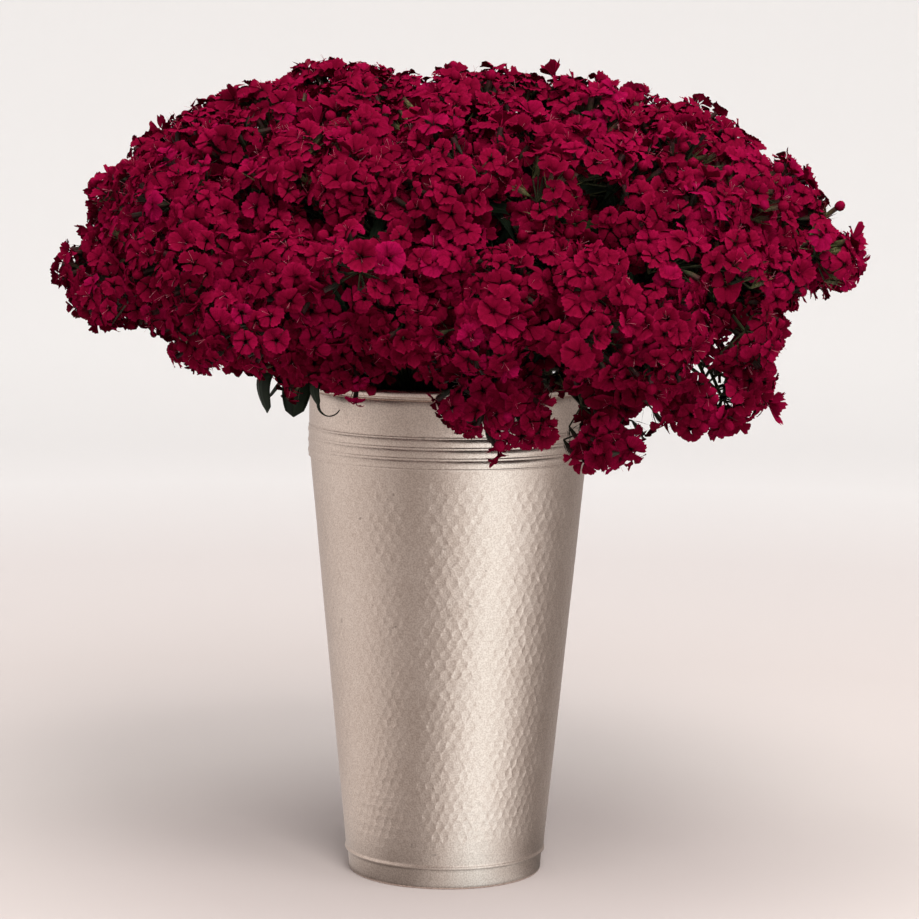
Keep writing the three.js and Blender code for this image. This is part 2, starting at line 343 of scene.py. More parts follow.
# Softboxes: azimuth from the front, elevation, distance, width, height, power and colour
LIGHT_AIM = Vector((0, 0, 0.35))
SOFTBOXES = {
    "key": (12, 43, 3.4, 1.3, 1.8, 124, (1.0, 0.97, 0.94)),
    "left_fill": (-60, 40, 2.6, 1.8, 1.8, 10, (1.0, 0.97, 0.95)),
    "right_fill": (62, 28, 2.6, 1.8, 1.8, 27, (1.0, 0.97, 0.95)),
    "overhead": (0, 80, 2.6, 2.4, 2.4, 56, (1.0, 1.0, 1.0)),
}
WORLD_COLOUR = (1.0, 0.98, 0.97, 1)
WORLD_STRENGTH = 0.82


def linked(name, data):
    """A new object in the scene."""
    item = bpy.data.objects.new(name, data)
    bpy.context.scene.collection.objects.link(item)
    return item


def add_camera():
    data = bpy.data.cameras.new("camera")
    data.lens = CAMERA_LENS
    data.sensor_width = SENSOR_WIDTH
    camera = linked("camera", data)
    camera.matrix_world = Matrix.Translation(CAMERA_PLACE) @ CAMERA_TURN.to_4x4()
    bpy.context.scene.camera = camera


class Patch:
    """Triangles on their way to a mesh, with a texture place, a tint and a material's number."""

    def __init__(self, points, faces, uv=(0, 0), tint=(0.5, 0.5, 0.5), finish=0):
        self.points = points.reshape(-1, 3)
        self.faces = faces.reshape(-1, 3)
        self.uv = np.broadcast_to(uv, (*points.shape[:-1], 2)).reshape(-1, 2)
        self.tint = np.broadcast_to(tint, points.shape).reshape(-1, 3)
        self.finish = finish


def add_piece(name, patches, materials, nodes=()):
    """One smooth mesh made of patches, riding on the model's body in place of the named nodes."""
    starts = np.cumsum([0] + [len(patch.points) for patch in patches[:-1]])
    points = np.concatenate([patch.points for patch in patches])
    faces = np.concatenate([patch.faces + start for patch, start in zip(patches, starts)])
    uv = np.concatenate([patch.uv for patch in patches])
    tint = np.concatenate([patch.tint for patch in patches])
    finish = np.concatenate([np.full(len(patch.faces), patch.finish) for patch in patches])
    mesh = bpy.data.meshes.new(name)
    mesh.vertices.add(len(points))
    mesh.vertices.foreach_set("co", points.astype(np.float32).ravel())
    mesh.loops.add(faces.size)
    mesh.loops.foreach_set("vertex_index", faces.astype(np.int32).ravel())
    mesh.polygons.add(len(faces))
    mesh.polygons.foreach_set("loop_start", np.arange(0, faces.size, 3, dtype=np.int32))
    mesh.polygons.foreach_set("material_index", finish.astype(np.int32))
    mesh.polygons.foreach_set("use_smooth", np.ones(len(faces), dtype=bool))
    mesh.update(calc_edges=True)
    layer = mesh.uv_layers.new(name="UVMap")
    layer.data.foreach_set("uv", uv[faces.ravel()].astype(np.float32).ravel())
    layer = mesh.attributes.new("tint", "FLOAT_VECTOR", "POINT")
    layer.data.foreach_set("vector", tint.astype(np.float32).ravel())
    for material in materials:
        mesh.materials.append(material)
    piece = linked(name, mesh)
    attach(piece, "root")
    if nodes:
        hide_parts(*nodes)


def grid_faces(rows, columns):
    """Triangles between the points of a grid whose last column meets its first."""
    row, column = np.meshgrid(np.arange(rows - 1), np.arange(columns), indexing="ij")
    near = row * columns + column
    beside = row * columns + (column + 1) % columns
    lower = np.stack([near, beside, beside + columns], axis=-1)
    upper = np.stack([near, beside + columns, near + columns], axis=-1)
    return np.concatenate([lower.reshape(-1, 3), upper.reshape(-1, 3)])


def welded(points, faces):
    """Points that coincide become one, and faces without area and unused points go."""
    separate, index = np.unique(points.reshape(-1, 3).round(7), axis=0, return_inverse=True)
    faces = index.reshape(-1)[faces]
    whole = (faces[:, 0] != faces[:, 1]) & (faces[:, 1] != faces[:, 2]) & (faces[:, 2] != faces[:, 0])
    used, index = np.unique(faces[whole], return_inverse=True)
    return separate[used], index.reshape(-1, 3)


def grid_places(rows, columns):
    """Texture places from 0 to 1 across and along a grid."""
    along, across = np.meshgrid(np.linspace(0, 1, rows), np.linspace(0, 1, columns), indexing="ij")
    return np.stack([across, along], axis=-1).reshape(-1, 2)


def repeated(faces, count, size):
    """The same faces for each of many copies that have that many points."""
    return faces[None] + (np.arange(count) * size)[:, None, None]


def unit(vectors):
    return vectors / np.linalg.norm(vectors, axis=-1, keepdims=True)


def smooth_step(low, high, value):
    share = np.clip((value - low) / (high - low), 0, 1)
    return share * share * (3 - 2 * share)


def bearing(azimuth, elevation=0.0):
    """The direction at an azimuth, in degrees from +X towards +Y, and an elevation."""
    a = np.radians(azimuth)
    e = np.radians(elevation)
    return np.stack([np.cos(a) * np.cos(e), np.sin(a) * np.cos(e), np.sin(e) + 0 * a], axis=-1)


def circle(sides):
    """Points of a unit circle in the XY plane."""
    turn = np.linspace(0, 2 * pi, sides, endpoint=False)
    return np.stack([np.cos(turn), np.sin(turn), 0 * turn], axis=-1)


def turned_rows(section, columns):
    """Points of a section, radius and height, turned round the upright axis: a row for each of its points."""
    section = np.array(section)[:, None]
    return circle(columns) * section[..., :1] + [0, 0, 1] * section[..., 1:]


def arc(radius, height, size, start, end, steps):
    """Points of a section along an arc round a radius and height, from one angle to another."""
    return [(radius + size * cos(a), height + size * sin(a)) for a in np.linspace(start, end, steps)]


def nearest(points, places):
    """The number of the point that lies closest to each place."""
    return np.array([np.linalg.norm(points - place, axis=1).argmin() for place in places])


def facing_frames(axes, spins):
    """Frames whose third direction is each axis, turned about it by each spin."""
    helper = np.where(np.abs(axes[:, 2:]) < 0.9, [[0.0, 0.0, 1.0]], [[1.0, 0.0, 0.0]])
    sideways = unit(np.cross(helper, axes))
    upwards = np.cross(axes, sideways)
    c = np.cos(spins)[:, None]
    s = np.sin(spins)[:, None]
    return np.stack([c * sideways + s * upwards, c * upwards - s * sideways, axes], axis=-1)


def placed(frames, origins, local):
    """Points of each copy, from its own frame to the model's."""
    return origins[:, None] + np.einsum("nij,nkj->nki", frames, local)


def node_names(start):
    return sorted(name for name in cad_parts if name.startswith(start))


def node_points(name):
    """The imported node's separate corners."""
    corners = np.array([vertex.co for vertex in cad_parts[name].data.vertices])
    return np.unique(corners.round(6), axis=0)


class Finish:
    """A material under construction, with its shader's constants set on the shader itself."""

    def __init__(self, name, **constants):
        self.material = bpy.data.materials.new(name)
        self.material.use_nodes = True
        self.nodes = self.material.node_tree.nodes
        self.links = self.material.node_tree.links
        self.shader = self.nodes["Principled BSDF"]
        for socket, value in constants.items():
            self.shader.inputs[socket.replace("_", " ")].default_value = value

    def add(self, kind, inputs, **settings):
        node = self.nodes.new("ShaderNode" + kind)
        for name, value in settings.items():
            setattr(node, name, value)
        for name, value in inputs.items():
            self.feed(node.inputs[name], value)
        return node

    def feed(self, socket, value):
        if isinstance(value, bpy.types.NodeSocket):
            self.links.new(value, socket)
        else:
            socket.default_value = value

    def noise(self, place, scale, detail):
        return self.add("TexNoise", {"Vector": place, "Scale": scale, "Detail": detail}).outputs["Fac"]

    def ramp(self, value, *stops):
        node = self.add("ValToRGB", {"Fac": value})
        bar = node.color_ramp.elements
        while len(bar) < len(stops):
            bar.new(0.5)
        for element, (place, colour) in zip(bar, stops):
            element.position = place
            element.color = (*colour, 1)
        return node.outputs["Color"]

    def grey(self, value, low, high, to_low, to_high):
        settings = {"Value": value, "From Min": low, "From Max": high, "To Min": to_low, "To Max": to_high}
        return self.add("MapRange", settings).outputs["Result"]

    def mix(self, share, first, second):
        node = self.nodes.new("ShaderNodeMix")
        node.data_type = "RGBA"
        self.feed(node.inputs[0], share)
        for index, value in ((6, first), (7, second)):
            self.feed(node.inputs[index], value if isinstance(value, bpy.types.NodeSocket) else (*value, 1))
        return node.outputs[2]

    def math(self, operation, first, second):
        node = self.add("Math", {0: first, 1: second}, operation=operation)
        return node.outputs[0]

    def bump(self, height, distance):
        node = self.add("Bump", {"Height": height, "Distance": distance})
        self.links.new(node.outputs["Normal"], self.shader.inputs["Normal"])

    def object_place(self):
        return self.nodes.new("ShaderNodeTexCoord").outputs["Object"]

    def texture_place(self):
        """Where a point lies across and along its petal, leaf or tube."""
        node = self.add("SeparateXYZ", {"Vector": self.nodes.new("ShaderNodeUVMap").outputs["UV"]})
        return node.outputs["X"], node.outputs["Y"]

    def tint(self):
        """The shade of the whole flower or leaf, and that of the one petal."""
        node = self.add("Attribute", {}, attribute_name="tint")
        parts = self.add("SeparateXYZ", {"Vector": node.outputs["Vector"]})
        return parts.outputs["X"], parts.outputs["Y"]

    def colour(self, value):
        self.feed(self.shader.inputs["Base Color"], value)


def bucket_finish():
    """Pale warm grey metal with soft clouds, stains, fine grain and small dark pits."""
    finish = Finish("hammered_metal", Metallic=1.0, Specular_IOR_Level=0.5)
    place = finish.object_place()
    clouds = finish.noise(place, 9, 5)
    patches = finish.noise(place, 60, 4)
    grain = finish.noise(place, 900, 3)
    pits = finish.noise(place, 130, 1)
    dull, middling, pale = (0.72, 0.59, 0.50), (0.80, 0.66, 0.57), (0.86, 0.73, 0.64)
    stain, polish = (0.68, 0.55, 0.47), (0.90, 0.78, 0.70)
    dark_grain, bright_grain = (0.52, 0.41, 0.35), (1.0, 0.87, 0.78)
    pit = (0.25, 0.19, 0.16)
    base = finish.ramp(clouds, (0.30, dull), (0.52, middling), (0.75, pale))
    base = finish.mix(0.30, base, finish.ramp(patches, (0.3, stain), (0.7, polish)))
    base = finish.mix(0.42, base, finish.ramp(grain, (0.38, dark_grain), (0.62, bright_grain)))
    finish.colour(finish.mix(finish.grey(pits, 0.76, 0.80, 0, 0.5), base, pit))
    finish.feed(finish.shader.inputs["Roughness"], finish.grey(patches, 0.3, 0.7, 0.28, 0.36))
    finish.bump(grain, 0.00022)
    return finish.material


def soil_finish():
    finish = Finish("potting_soil", Roughness=0.95)
    place = finish.object_place()
    wet, moist, dry = (0.010, 0.006, 0.004), (0.030, 0.019, 0.012), (0.07, 0.05, 0.035)
    finish.colour(finish.ramp(finish.noise(place, 260, 4), (0.3, wet), (0.55, moist), (0.8, dry)))
    finish.bump(finish.noise(place, 700, 3), 0.0008)
    return finish.material


def petal_finish():
    """Deep crimson velvet: darker at the throat, finely veined, each flower and petal a little different."""
    finish = Finish("crimson_petal", Roughness=0.8, Specular_IOR_Level=0.0)
    across, along = finish.texture_place()
    flower, petal = finish.tint()
    shaded, crimson, bright, sunlit = (
        (0.075, 0.001, 0.009), (0.140, 0.002, 0.018), (0.185, 0.002, 0.027), (0.20, 0.002, 0.036))
    dark_petal, dark_vein, dark_speck = (0.080, 0.001, 0.009), (0.055, 0.001, 0.006), (0.070, 0.001, 0.008)
    pale_edge, dark_middle, throat = (0.30, 0.006, 0.048), (0.065, 0.001, 0.007), (0.016, 0.0, 0.002)
    # The flower's tint differs at random, and is lower on deep heads as painted shade.
    base = finish.ramp(flower, (0.0, shaded), (0.5, crimson), (0.85, bright), (1.0, sunlit))
    base = finish.mix(finish.grey(petal, 0, 1, 0.0, 0.25), base, dark_petal)
    vein_place = finish.add("CombineXYZ", {"X": finish.math("MULTIPLY", across, 7), "Y": along, "Z": flower})
    veins = finish.noise(vein_place.outputs["Vector"], 1.3, 3)
    base = finish.mix(finish.grey(veins, 0.38, 0.60, 0.45, 0.0), base, dark_vein)
    base = finish.mix(finish.grey(along, 0.75, 1.0, 0.0, 0.22), base, pale_edge)
    base = finish.mix(finish.grey(along, 0.25, 0.70, 0.40, 0.0), base, dark_middle)
    specks = finish.noise(finish.object_place(), 900, 2)
    base = finish.mix(finish.grey(specks, 0.35, 0.65, 0.24, 0.0), base, dark_speck)
    finish.colour(finish.mix(finish.grey(along, 0.04, 0.24, 0.70, 0.0), base, throat))
    finish.bump(veins, 0.0004)
    return finish.material


def stamen_finish():
    """Red at the throat and pale pink at the tip."""
    finish = Finish("pale_stamen", Roughness=0.5)
    _, along = finish.texture_place()
    red, rose, pink = (0.22, 0.01, 0.03), (0.34, 0.07, 0.10), (0.50, 0.26, 0.27)
    finish.colour(finish.ramp(along, (0.0, red), (0.6, rose), (1.0, pink)))
    return finish.material


def calyx_finish():
    """Green at its foot, dark or bright by its tint, and maroon towards the petals, with small flecks."""
    finish = Finish("calyx_green", Roughness=0.6, Specular_IOR_Level=0.3)
    _, along = finish.texture_place()
    greenness, _ = finish.tint()
    flecks = finish.noise(finish.object_place(), 900, 2)
    dark = finish.ramp(flecks, (0.35, (0.008, 0.009, 0.006)), (0.70, (0.022, 0.024, 0.012)))
    bright = finish.ramp(flecks, (0.35, (0.030, 0.036, 0.012)), (0.70, (0.15, 0.15, 0.06)))
    green = finish.mix(finish.grey(greenness, 0.35, 0.9, 0.0, 1.0), dark, bright)
    maroon = finish.ramp(flecks, (0.35, (0.014, 0.001, 0.003)), (0.65, (0.050, 0.005, 0.010)))
    finish.colour(finish.mix(finish.grey(along, 0.35, 0.95, 0.0, 0.85), green, maroon))
    finish.bump(flecks, 0.0002)
    return finish.material


def leaf_finish():
    """Dark green with a paler, sunken midrib. A few leaves are younger and brighter."""
    finish = Finish("leaf_green", Roughness=0.55, Specular_IOR_Level=0.15)
    across, _ = finish.texture_place()
    youth, _ = finish.tint()
    patches = finish.noise(finish.object_place(), 90, 3)
    dark, green = (0.006, 0.010, 0.006), (0.012, 0.020, 0.010)
    young, midrib = (0.030, 0.045, 0.012), (0.025, 0.038, 0.020)
    base = finish.ramp(patches, (0.3, dark), (0.7, green))
    base = finish.mix(finish.grey(youth, 0.8, 1, 0.0, 0.7), base, young)
    aside = finish.math("ABSOLUTE", finish.math("SUBTRACT", across, 0.5), 0)
    finish.colour(finish.mix(finish.grey(aside, 0.0, 0.10, 0.4, 0.0), base, midrib))
    finish.bump(finish.grey(aside, 0.0, 0.12, 0.0, 1.0), 0.0005)
    return finish.material


def stem_finish():
    """Olive with brownish patches."""
    finish = Finish("stem_green", Roughness=0.6, Specular_IOR_Level=0.15)
    place = finish.object_place()
    patches = finish.noise(place, 70, 3)
    dark, olive, brown = (0.014, 0.018, 0.008), (0.030, 0.036, 0.014), (0.04, 0.028, 0.016)
    finish.colour(finish.ramp(patches, (0.3, dark), (0.6, olive), (0.8, brown)))
    finish.bump(finish.noise(place, 500, 2), 0.0003)
    return finish.material


def taper_radius(height):
    return TAPER_BASE_RADIUS + (TAPER_TOP_RADIUS - TAPER_BASE_RADIUS) * height / TAPER_TOP


def foot_section():
    """Radius and height along the bucket's section from the middle of its base to its hammered wall."""
    section = [(0, 0), (FOOT_RADIUS * 0.5, 0), (FOOT_RADIUS * 0.9, 0)]
    section += arc(FOOT_RADIUS - FOOT_ROUNDING, FOOT_ROUNDING, FOOT_ROUNDING, -pi / 2, 0, 5)
    band_height = BEAD_HEIGHT - 2 * FOOT_ROUNDING
    for share in np.linspace(0.12, 1, 7):
        radius = FOOT_RADIUS + (FOOT_TOP_RADIUS - FOOT_RADIUS) * share
        section.append((radius, FOOT_ROUNDING + band_height * share))
    bead_middle = taper_radius(BEAD_HEIGHT) - BEAD_RADIUS / 4
    section += arc(bead_middle, BEAD_HEIGHT, BEAD_RADIUS, -BEAD_TURN, BEAD_TURN, 7)
    section += [(taper_radius(h), h) for h in (BEAD_HEIGHT + 2 * BEAD_RADIUS, DENTS_BOTTOM - DENTS_SEAM)]
    return section


def collar_section():
    """Radius and height from above the hammered wall, over ribs, collar and lip, to the inside's middle."""
    lip_middle = BUCKET_HEIGHT - LIP_RADIUS
    heights = np.arange(COLLAR_BOTTOM, RIBS_TOP, COLLAR_STEP)
    turn = (heights - COLLAR_BOTTOM) / RIB_PITCH
    rise = np.abs(np.sin(pi * turn)) ** RIB_BLUNTNESS
    beading = BEADING * np.exp(-((turn - np.round(turn)) * RIB_PITCH / BEADING_HALF) ** 2)
    section = [(taper_radius(h), h) for h in (DENTS_TOP + DENTS_SEAM, COLLAR_BOTTOM - DENTS_SEAM)]
    section += zip(COLLAR_RADIUS - GROOVE_DEPTH + (GROOVE_DEPTH + RIB_RISE) * rise + beading, heights)
    section += [(COLLAR_RADIUS - GROOVE_DEPTH, RIBS_TOP), (COLLAR_RADIUS - 0.0002, RIBS_TOP + 0.0008)]
    section += [(COLLAR_RADIUS, h) for h in np.linspace(RIBS_TOP + 0.0020, lip_middle - 1.9 * LIP_RADIUS, 6)]
    for depth, drop in ((0.4, 1.7), (1.0, 1.45), (1.0, 1.15)):
        section.append((COLLAR_RADIUS - depth * LIP_UNDERCUT, lip_middle - drop * LIP_RADIUS))
    section += arc(COLLAR_RADIUS, lip_middle, LIP_RADIUS, *LIP_TURN, 17)
    section += [(COLLAR_RADIUS - WALL, h) for h in np.linspace(lip_middle - 2 * LIP_RADIUS, COLLAR_BOTTOM, 6)]
    section += [(taper_radius(h) - WALL, h) for h in np.linspace(COLLAR_BOTTOM * 0.9, FLOOR_THICKNESS, 6)]
    return section + [(FOOT_RADIUS * 0.5, FLOOR_THICKNESS), (0, FLOOR_THICKNESS)]


def turned_strip(low, low_columns, high, high_columns):
    """A band round the taper between two heights whose rings have different counts, as points and faces."""
    rings = []
    for height, columns in ((low, low_columns), (high, high_columns)):
        ring = turned_rows([(taper_radius(height), height)], columns)[0]
        rings.append(np.concatenate([ring, ring[:1]]))
    faces = row_strip(0, low_columns + 1, low_columns + 1, high_columns + 1)
    return np.concatenate(rings), np.array(faces)


def wall_points(angle, height, relief):
    """Points on the bucket's taper, standing out from it by the relief and by slow uneven swells."""
    swell = sum(np.sin(around * angle + upwards * height) for around, upwards in SWELL_WAVES)
    fade = smooth_step(DENTS_BOTTOM, DENTS_BOTTOM + SWELL_FADE, height)
    fade = fade * smooth_step(DENTS_TOP, DENTS_TOP - SWELL_FADE, height)
    radius = taper_radius(height) + relief + fade * SWELL * swell / len(SWELL_WAVES)
    return np.stack([radius * np.cos(angle), radius * np.sin(angle), height], axis=-1)


def hammered_wall(rng):
    """Staggered rows of shallow round dents that meet in sharp ridges, as points and faces."""
    step = 2 * pi / BUCKET_COLUMNS
    pitch = (DENTS_TOP - DENTS_BOTTOM) / DENT_ROWS
    column = np.arange(BUCKET_COLUMNS)
    row = np.arange(DENT_ROWS + 1)[:, None]
    zigzag = np.where((column + row) % 2 == 0, -1, 1) * pitch / 6
    zigzag[[0, -1]] = 0
    loose = np.ones((DENT_ROWS + 1, 1))
    loose[[0, -1]] = 0
    jitter = rng.uniform(-DENT_JITTER, DENT_JITTER, (2, DENT_ROWS + 1, BUCKET_COLUMNS)) * loose
    angle = (column + 2 * jitter[0]) * step
    height = DENTS_BOTTOM + row * pitch + zigzag + jitter[1] * pitch
    corners = np.stack([angle, height], axis=-1)
    corners[[0, -1], :, 0] = column * step
    after = np.roll(corners, -1, axis=1)
    after[:, -1, 0] += 2 * pi
    edges = (corners + after) / 2
    sides = (corners[:-1] + corners[1:]) / 2
    flat = np.concatenate([corners, edges]).reshape(-1, 2)
    ridge = rng.uniform(-DENT_WOBBLE, DENT_WOBBLE, len(flat))
    ridge = ridge * np.repeat(np.concatenate([loose[:, 0], loose[:, 0]]), BUCKET_COLUMNS)
    flat = np.concatenate([flat, sides.reshape(-1, 2)])
    ridge = np.concatenate([ridge, rng.uniform(-DENT_WOBBLE, DENT_WOBBLE, sides.size // 2)])
    corner_at = np.arange(corners.size // 2).reshape(corners.shape[:2])
    edge_at = corner_at + corners.size // 2
    side_at = np.arange(sides.size // 2).reshape(sides.shape[:2]) + corners.size
    j, i = np.meshgrid(np.arange(DENT_ROWS), np.arange(DENT_COLUMNS), indexing="ij")
    middle = (2 * i + j % 2).ravel()
    j = j.ravel()
    left = (middle - 1) % BUCKET_COLUMNS
    middle = middle % BUCKET_COLUMNS
    right = (middle + 1) % BUCKET_COLUMNS
    rim = np.stack([
        corner_at[j, left], edge_at[j, left], corner_at[j, middle], edge_at[j, middle], corner_at[j, right],
        side_at[j, right], corner_at[j + 1, right], edge_at[j + 1, middle], corner_at[j + 1, middle],
        edge_at[j + 1, left], corner_at[j + 1, left], side_at[j, left],
    ], axis=1)
    around = flat[rim]
    around[..., 0] -= 2 * pi * np.round((around[..., 0] - around[:, 2:3, 0]) / (2 * pi))
    centre = around.mean(axis=1, keepdims=True)
    share = np.where(np.arange(12) % 2 == 0, DENT_CORNER, DENT_SIDE)[:, None]
    inner = centre + (around - centre) * share
    fade = smooth_step(-0.5, DENTS_FADE, j) * smooth_step(-0.5, DENTS_FADE, DENT_ROWS - 1 - j)
    depth = DENT_DEPTH * rng.uniform(*DENT_VARIATION, len(j)) * fade
    tilt = rng.normal(0, DENT_TILT, (len(j), 2))
    slope = (tilt[:, None] * (around - centre) / [step, pitch]).sum(axis=2)
    inner_relief = -depth[:, None] * (DENT_SHOULDER + DENT_SLOPE * slope)
    points = np.concatenate([
        wall_points(flat[:, 0], flat[:, 1], ridge),
        wall_points(inner[..., 0], inner[..., 1], inner_relief).reshape(-1, 3),
        wall_points(centre[:, 0, 0], centre[:, 0, 1], -depth),
    ])
    cells = len(j)
    inner_at = len(flat) + np.arange(cells * 12).reshape(cells, 12)
    centre_at = (len(flat) + cells * 12 + np.arange(cells))[:, None]
    rim_next = np.roll(rim, -1, axis=1)
    inner_next = np.roll(inner_at, -1, axis=1)
    faces = np.concatenate([
        np.stack([rim, rim_next, inner_next], axis=-1).reshape(-1, 3),
        np.stack([rim, inner_next, inner_at], axis=-1).reshape(-1, 3),
        np.stack([inner_at, inner_next, np.broadcast_to(centre_at, inner_at.shape)], axis=-1).reshape(-1, 3),
    ])
    return points, faces


def add_bucket(metal):
    rng = np.random.default_rng(11)
    coarse, fine = BUCKET_COLUMNS, 2 * BUCKET_COLUMNS
    bands = [hammered_wall(rng)]
    for section in (foot_section(), collar_section()):
        bands.append((turned_rows(section, coarse).reshape(-1, 3), grid_faces(len(section), coarse)))
    bands.append(turned_strip(DENTS_BOTTOM - DENTS_SEAM, coarse, DENTS_BOTTOM, fine))
    bands.append(turned_strip(DENTS_TOP, fine, DENTS_TOP + DENTS_SEAM, coarse))
    starts = np.cumsum([0] + [len(points) for points, _ in bands])
    faces = np.concatenate([faces + start for (_, faces), start in zip(bands, starts)])
    points, faces = welded(np.concatenate([points for points, _ in bands]), faces)
    add_piece("hammered_bucket", [Patch(points, faces)], [metal], ["bucket"])


def add_soil(soil):
    """A crumbly top, and smooth sides and base that follow the bucket's inside."""
    rng = np.random.default_rng(12)
    low = FLOOR_THICKNESS + SOIL_GAP
    section = [(r * SOIL_RADIUS, SOIL_TOP - SOIL_ROUGHNESS) for r in np.linspace(0, 1, SOIL_RINGS)]
    section += [(taper_radius(h) - WALL - SOIL_GAP, h) for h in np.linspace(TAPER_TOP - 0.002, low, 5)]
    section.append((0, low))
    points = turned_rows(section, SOIL_COLUMNS)
    crumbs = rng.uniform(-1, 1, points.shape[:2]) * SOIL_ROUGHNESS
    crumbs[0] = 0
    crumbs[SOIL_RINGS - 1:] = 0
    points[..., 2] += crumbs
    points, faces = welded(points, grid_faces(len(section), SOIL_COLUMNS)[:, ::-1])
    add_piece("crumbly_soil", [Patch(points, faces)], [soil], ["potting_soil"])


def mound_reach(azimuth):
    """How far the mound reaches from its middle at each azimuth."""
    way = bearing(azimuth)
    sideways = np.where(way[..., 0] > 0, MOUND_RIGHT, MOUND_LEFT)
    return 1 / np.hypot(way[..., 0] / sideways, way[..., 1] / MOUND_DEEP)


def mound_drop(azimuth):
    """How far the mound's edge hangs below its middle height: most at the front right."""
    return MOUND_DROP + MOUND_DROP_SWING * np.cos(np.radians(azimuth - MOUND_DROP_AZIMUTH))


def mound_surface(azimuth, spread, upper):
    """Points on the mound, from its middle (0) to its widest edge (1), and the way they face."""
    reach = mound_reach(azimuth)
    rise = np.where(upper, MOUND_RISE, -mound_drop(azimuth))
    climb = (1 - spread ** MOUND_SQUARENESS) ** (1 / MOUND_SQUARENESS)
    point = bearing(azimuth) * (spread * reach)[..., None]
    point[..., 2] = MOUND_MIDDLE + rise * climb
    facing = bearing(azimuth) * (spread ** (MOUND_SQUARENESS - 1) / reach)[..., None]
    facing[..., 2] = climb ** (MOUND_SQUARENESS - 1) / rise * np.where(upper, 1, UNDERSIDE_TURN)
    return point, unit(facing)


def pixels_of(points):
    """Where points appear in the photograph."""
    seen = (points - np.array(CAMERA_PLACE)) @ np.array(CAMERA_TURN)
    scale = FOCAL_PIXELS / -seen[..., 2]
    return np.stack([PHOTO_SIDE / 2 + seen[..., 0] * scale, PHOTO_SIDE / 2 - seen[..., 1] * scale], axis=-1)


def place_of(pixel, depth):
    """The point at that depth, along Y, that appears at a pixel of the photograph."""
    ray = np.array(CAMERA_TURN) @ [pixel[0] - PHOTO_SIDE / 2, PHOTO_SIDE / 2 - pixel[1], -FOCAL_PIXELS]
    return np.array(CAMERA_PLACE) + ray * (depth - CAMERA_PLACE[1]) / ray[1]


def outline_margin(pixels):
    """How far inside the plant's outline each pixel lies, negative outside it."""
    start = np.array(OUTLINE)[:, :2]
    end = np.roll(start, -1, axis=0)
    edge = end - start
    offset = pixels[:, None] - start
    share = np.clip((offset * edge).sum(2) / (edge ** 2).sum(1), 0, 1)
    distance = np.linalg.norm(offset - share[..., None] * edge, axis=2).min(axis=1)
    level = pixels[:, None, 1]
    spans = (start[:, 1] > level) != (end[:, 1] > level)
    rise = np.where(edge[:, 1] == 0, 1, edge[:, 1])
    crossing = start[:, 0] + (level - start[:, 1]) / rise * edge[:, 0]
    inside = (spans & (pixels[:, None, 0] < crossing)).sum(axis=1) % 2 == 1
    return np.where(inside, distance, -distance)


def within_outline(places, axes, rng):
    """Whether each flower keeps more or less within the outline. One that faces it may come closer."""
    pixels = pixels_of(places)
    outward = unit(pixels - np.array(OUTLINE_MIDDLE))
    along = axes[:, 0] * outward[:, 0] - axes[:, 2] * outward[:, 1]
    slack = rng.uniform(-OUTLINE_SLACK, OUTLINE_SLACK, len(places))
    return outline_margin(pixels) > slack + OUTLINE_MARGIN * np.sqrt(1 - np.clip(along, 0, 1) ** 2)


def clear_of(pixels, gaps, reach):
    """Whether each pixel keeps clear of round gaps."""
    gaps = np.array(gaps)
    distance = np.linalg.norm(pixels[:, None] - gaps[:, :2], axis=2)
    return (distance > gaps[:, 2] + reach).all(axis=1)


def in_dark_gap(places, pixels):
    """Whether each flower lies in a dark gap, which goes only so far back from the foremost flower in it."""
    inside = np.zeros(len(places), dtype=bool)
    for across, down, radius in DARK_GAPS:
        near = np.linalg.norm(pixels - [across, down], axis=1) < radius + DARK_GAP_REACH
        if near.any():
            inside |= near & (places[:, 1] < places[near, 1].min() + DARK_GAP_DEPTH)
    return inside


def outline_heads(rng):
    """Tips and facings of heads that follow the outline, a little inside it."""
    closed = np.array(OUTLINE + OUTLINE[:1])
    way = np.concatenate([[0], np.cumsum(np.linalg.norm(np.diff(closed[:, :2], axis=0), axis=1))])
    count = round(way[-1] / OUTLINE_STEP)
    at = np.arange(count) * way[-1] / count
    path = np.stack([np.interp(at, way, closed[:, k]) for k in range(3)], axis=1)
    along = np.roll(path, -1, axis=0) - np.roll(path, 1, axis=0)
    outward = unit(np.stack([along[:, 1], -along[:, 0]], axis=1))
    inner = path[:, :2] - outward * OUTLINE_INSET
    tips = np.array([place_of(pixel, depth) for pixel, depth in zip(inner, path[:, 2])])
    towards = rng.uniform(*OUTLINE_TOWARDS, count) + 4 * path[:, 2]
    upwards = -outward[:, 1] * np.where(outward[:, 1] > 0, OUTLINE_TURN, 1)
    return tips, unit(np.stack([outward[:, 0], towards, upwards], axis=1))


def hanging_heads(rng):
    """Tips and facings for heads that fill the long droop at the front right, below the mound itself."""
    ranges = (HANGING_ACROSS, HANGING_DOWN)
    pixels = np.stack([rng.uniform(*limits, HANGING_CANDIDATES) for limits in ranges], axis=1)
    pixels = pixels[outline_margin(pixels) > OUTLINE_INSET]
    sideways = (pixels[:, 0] - PHOTO_SIDE / 2) / PIXELS_PER_METRE / MOUND_RIGHT
    inwards = np.interp(pixels[:, 1], HANGING_DOWN, HANGING_INWARDS)
    depths = -MOUND_DEEP * inwards * np.sqrt(1 - np.clip(sideways, 0, 0.97) ** 2)
    tips = np.array([place_of(pixel, depth) for pixel, depth in zip(pixels, depths)])
    facings = [[HANGING_SIDEWAYS * way, -1, HANGING_UPWARDS] for way in sideways]
    return tips, unit(np.array(facings))


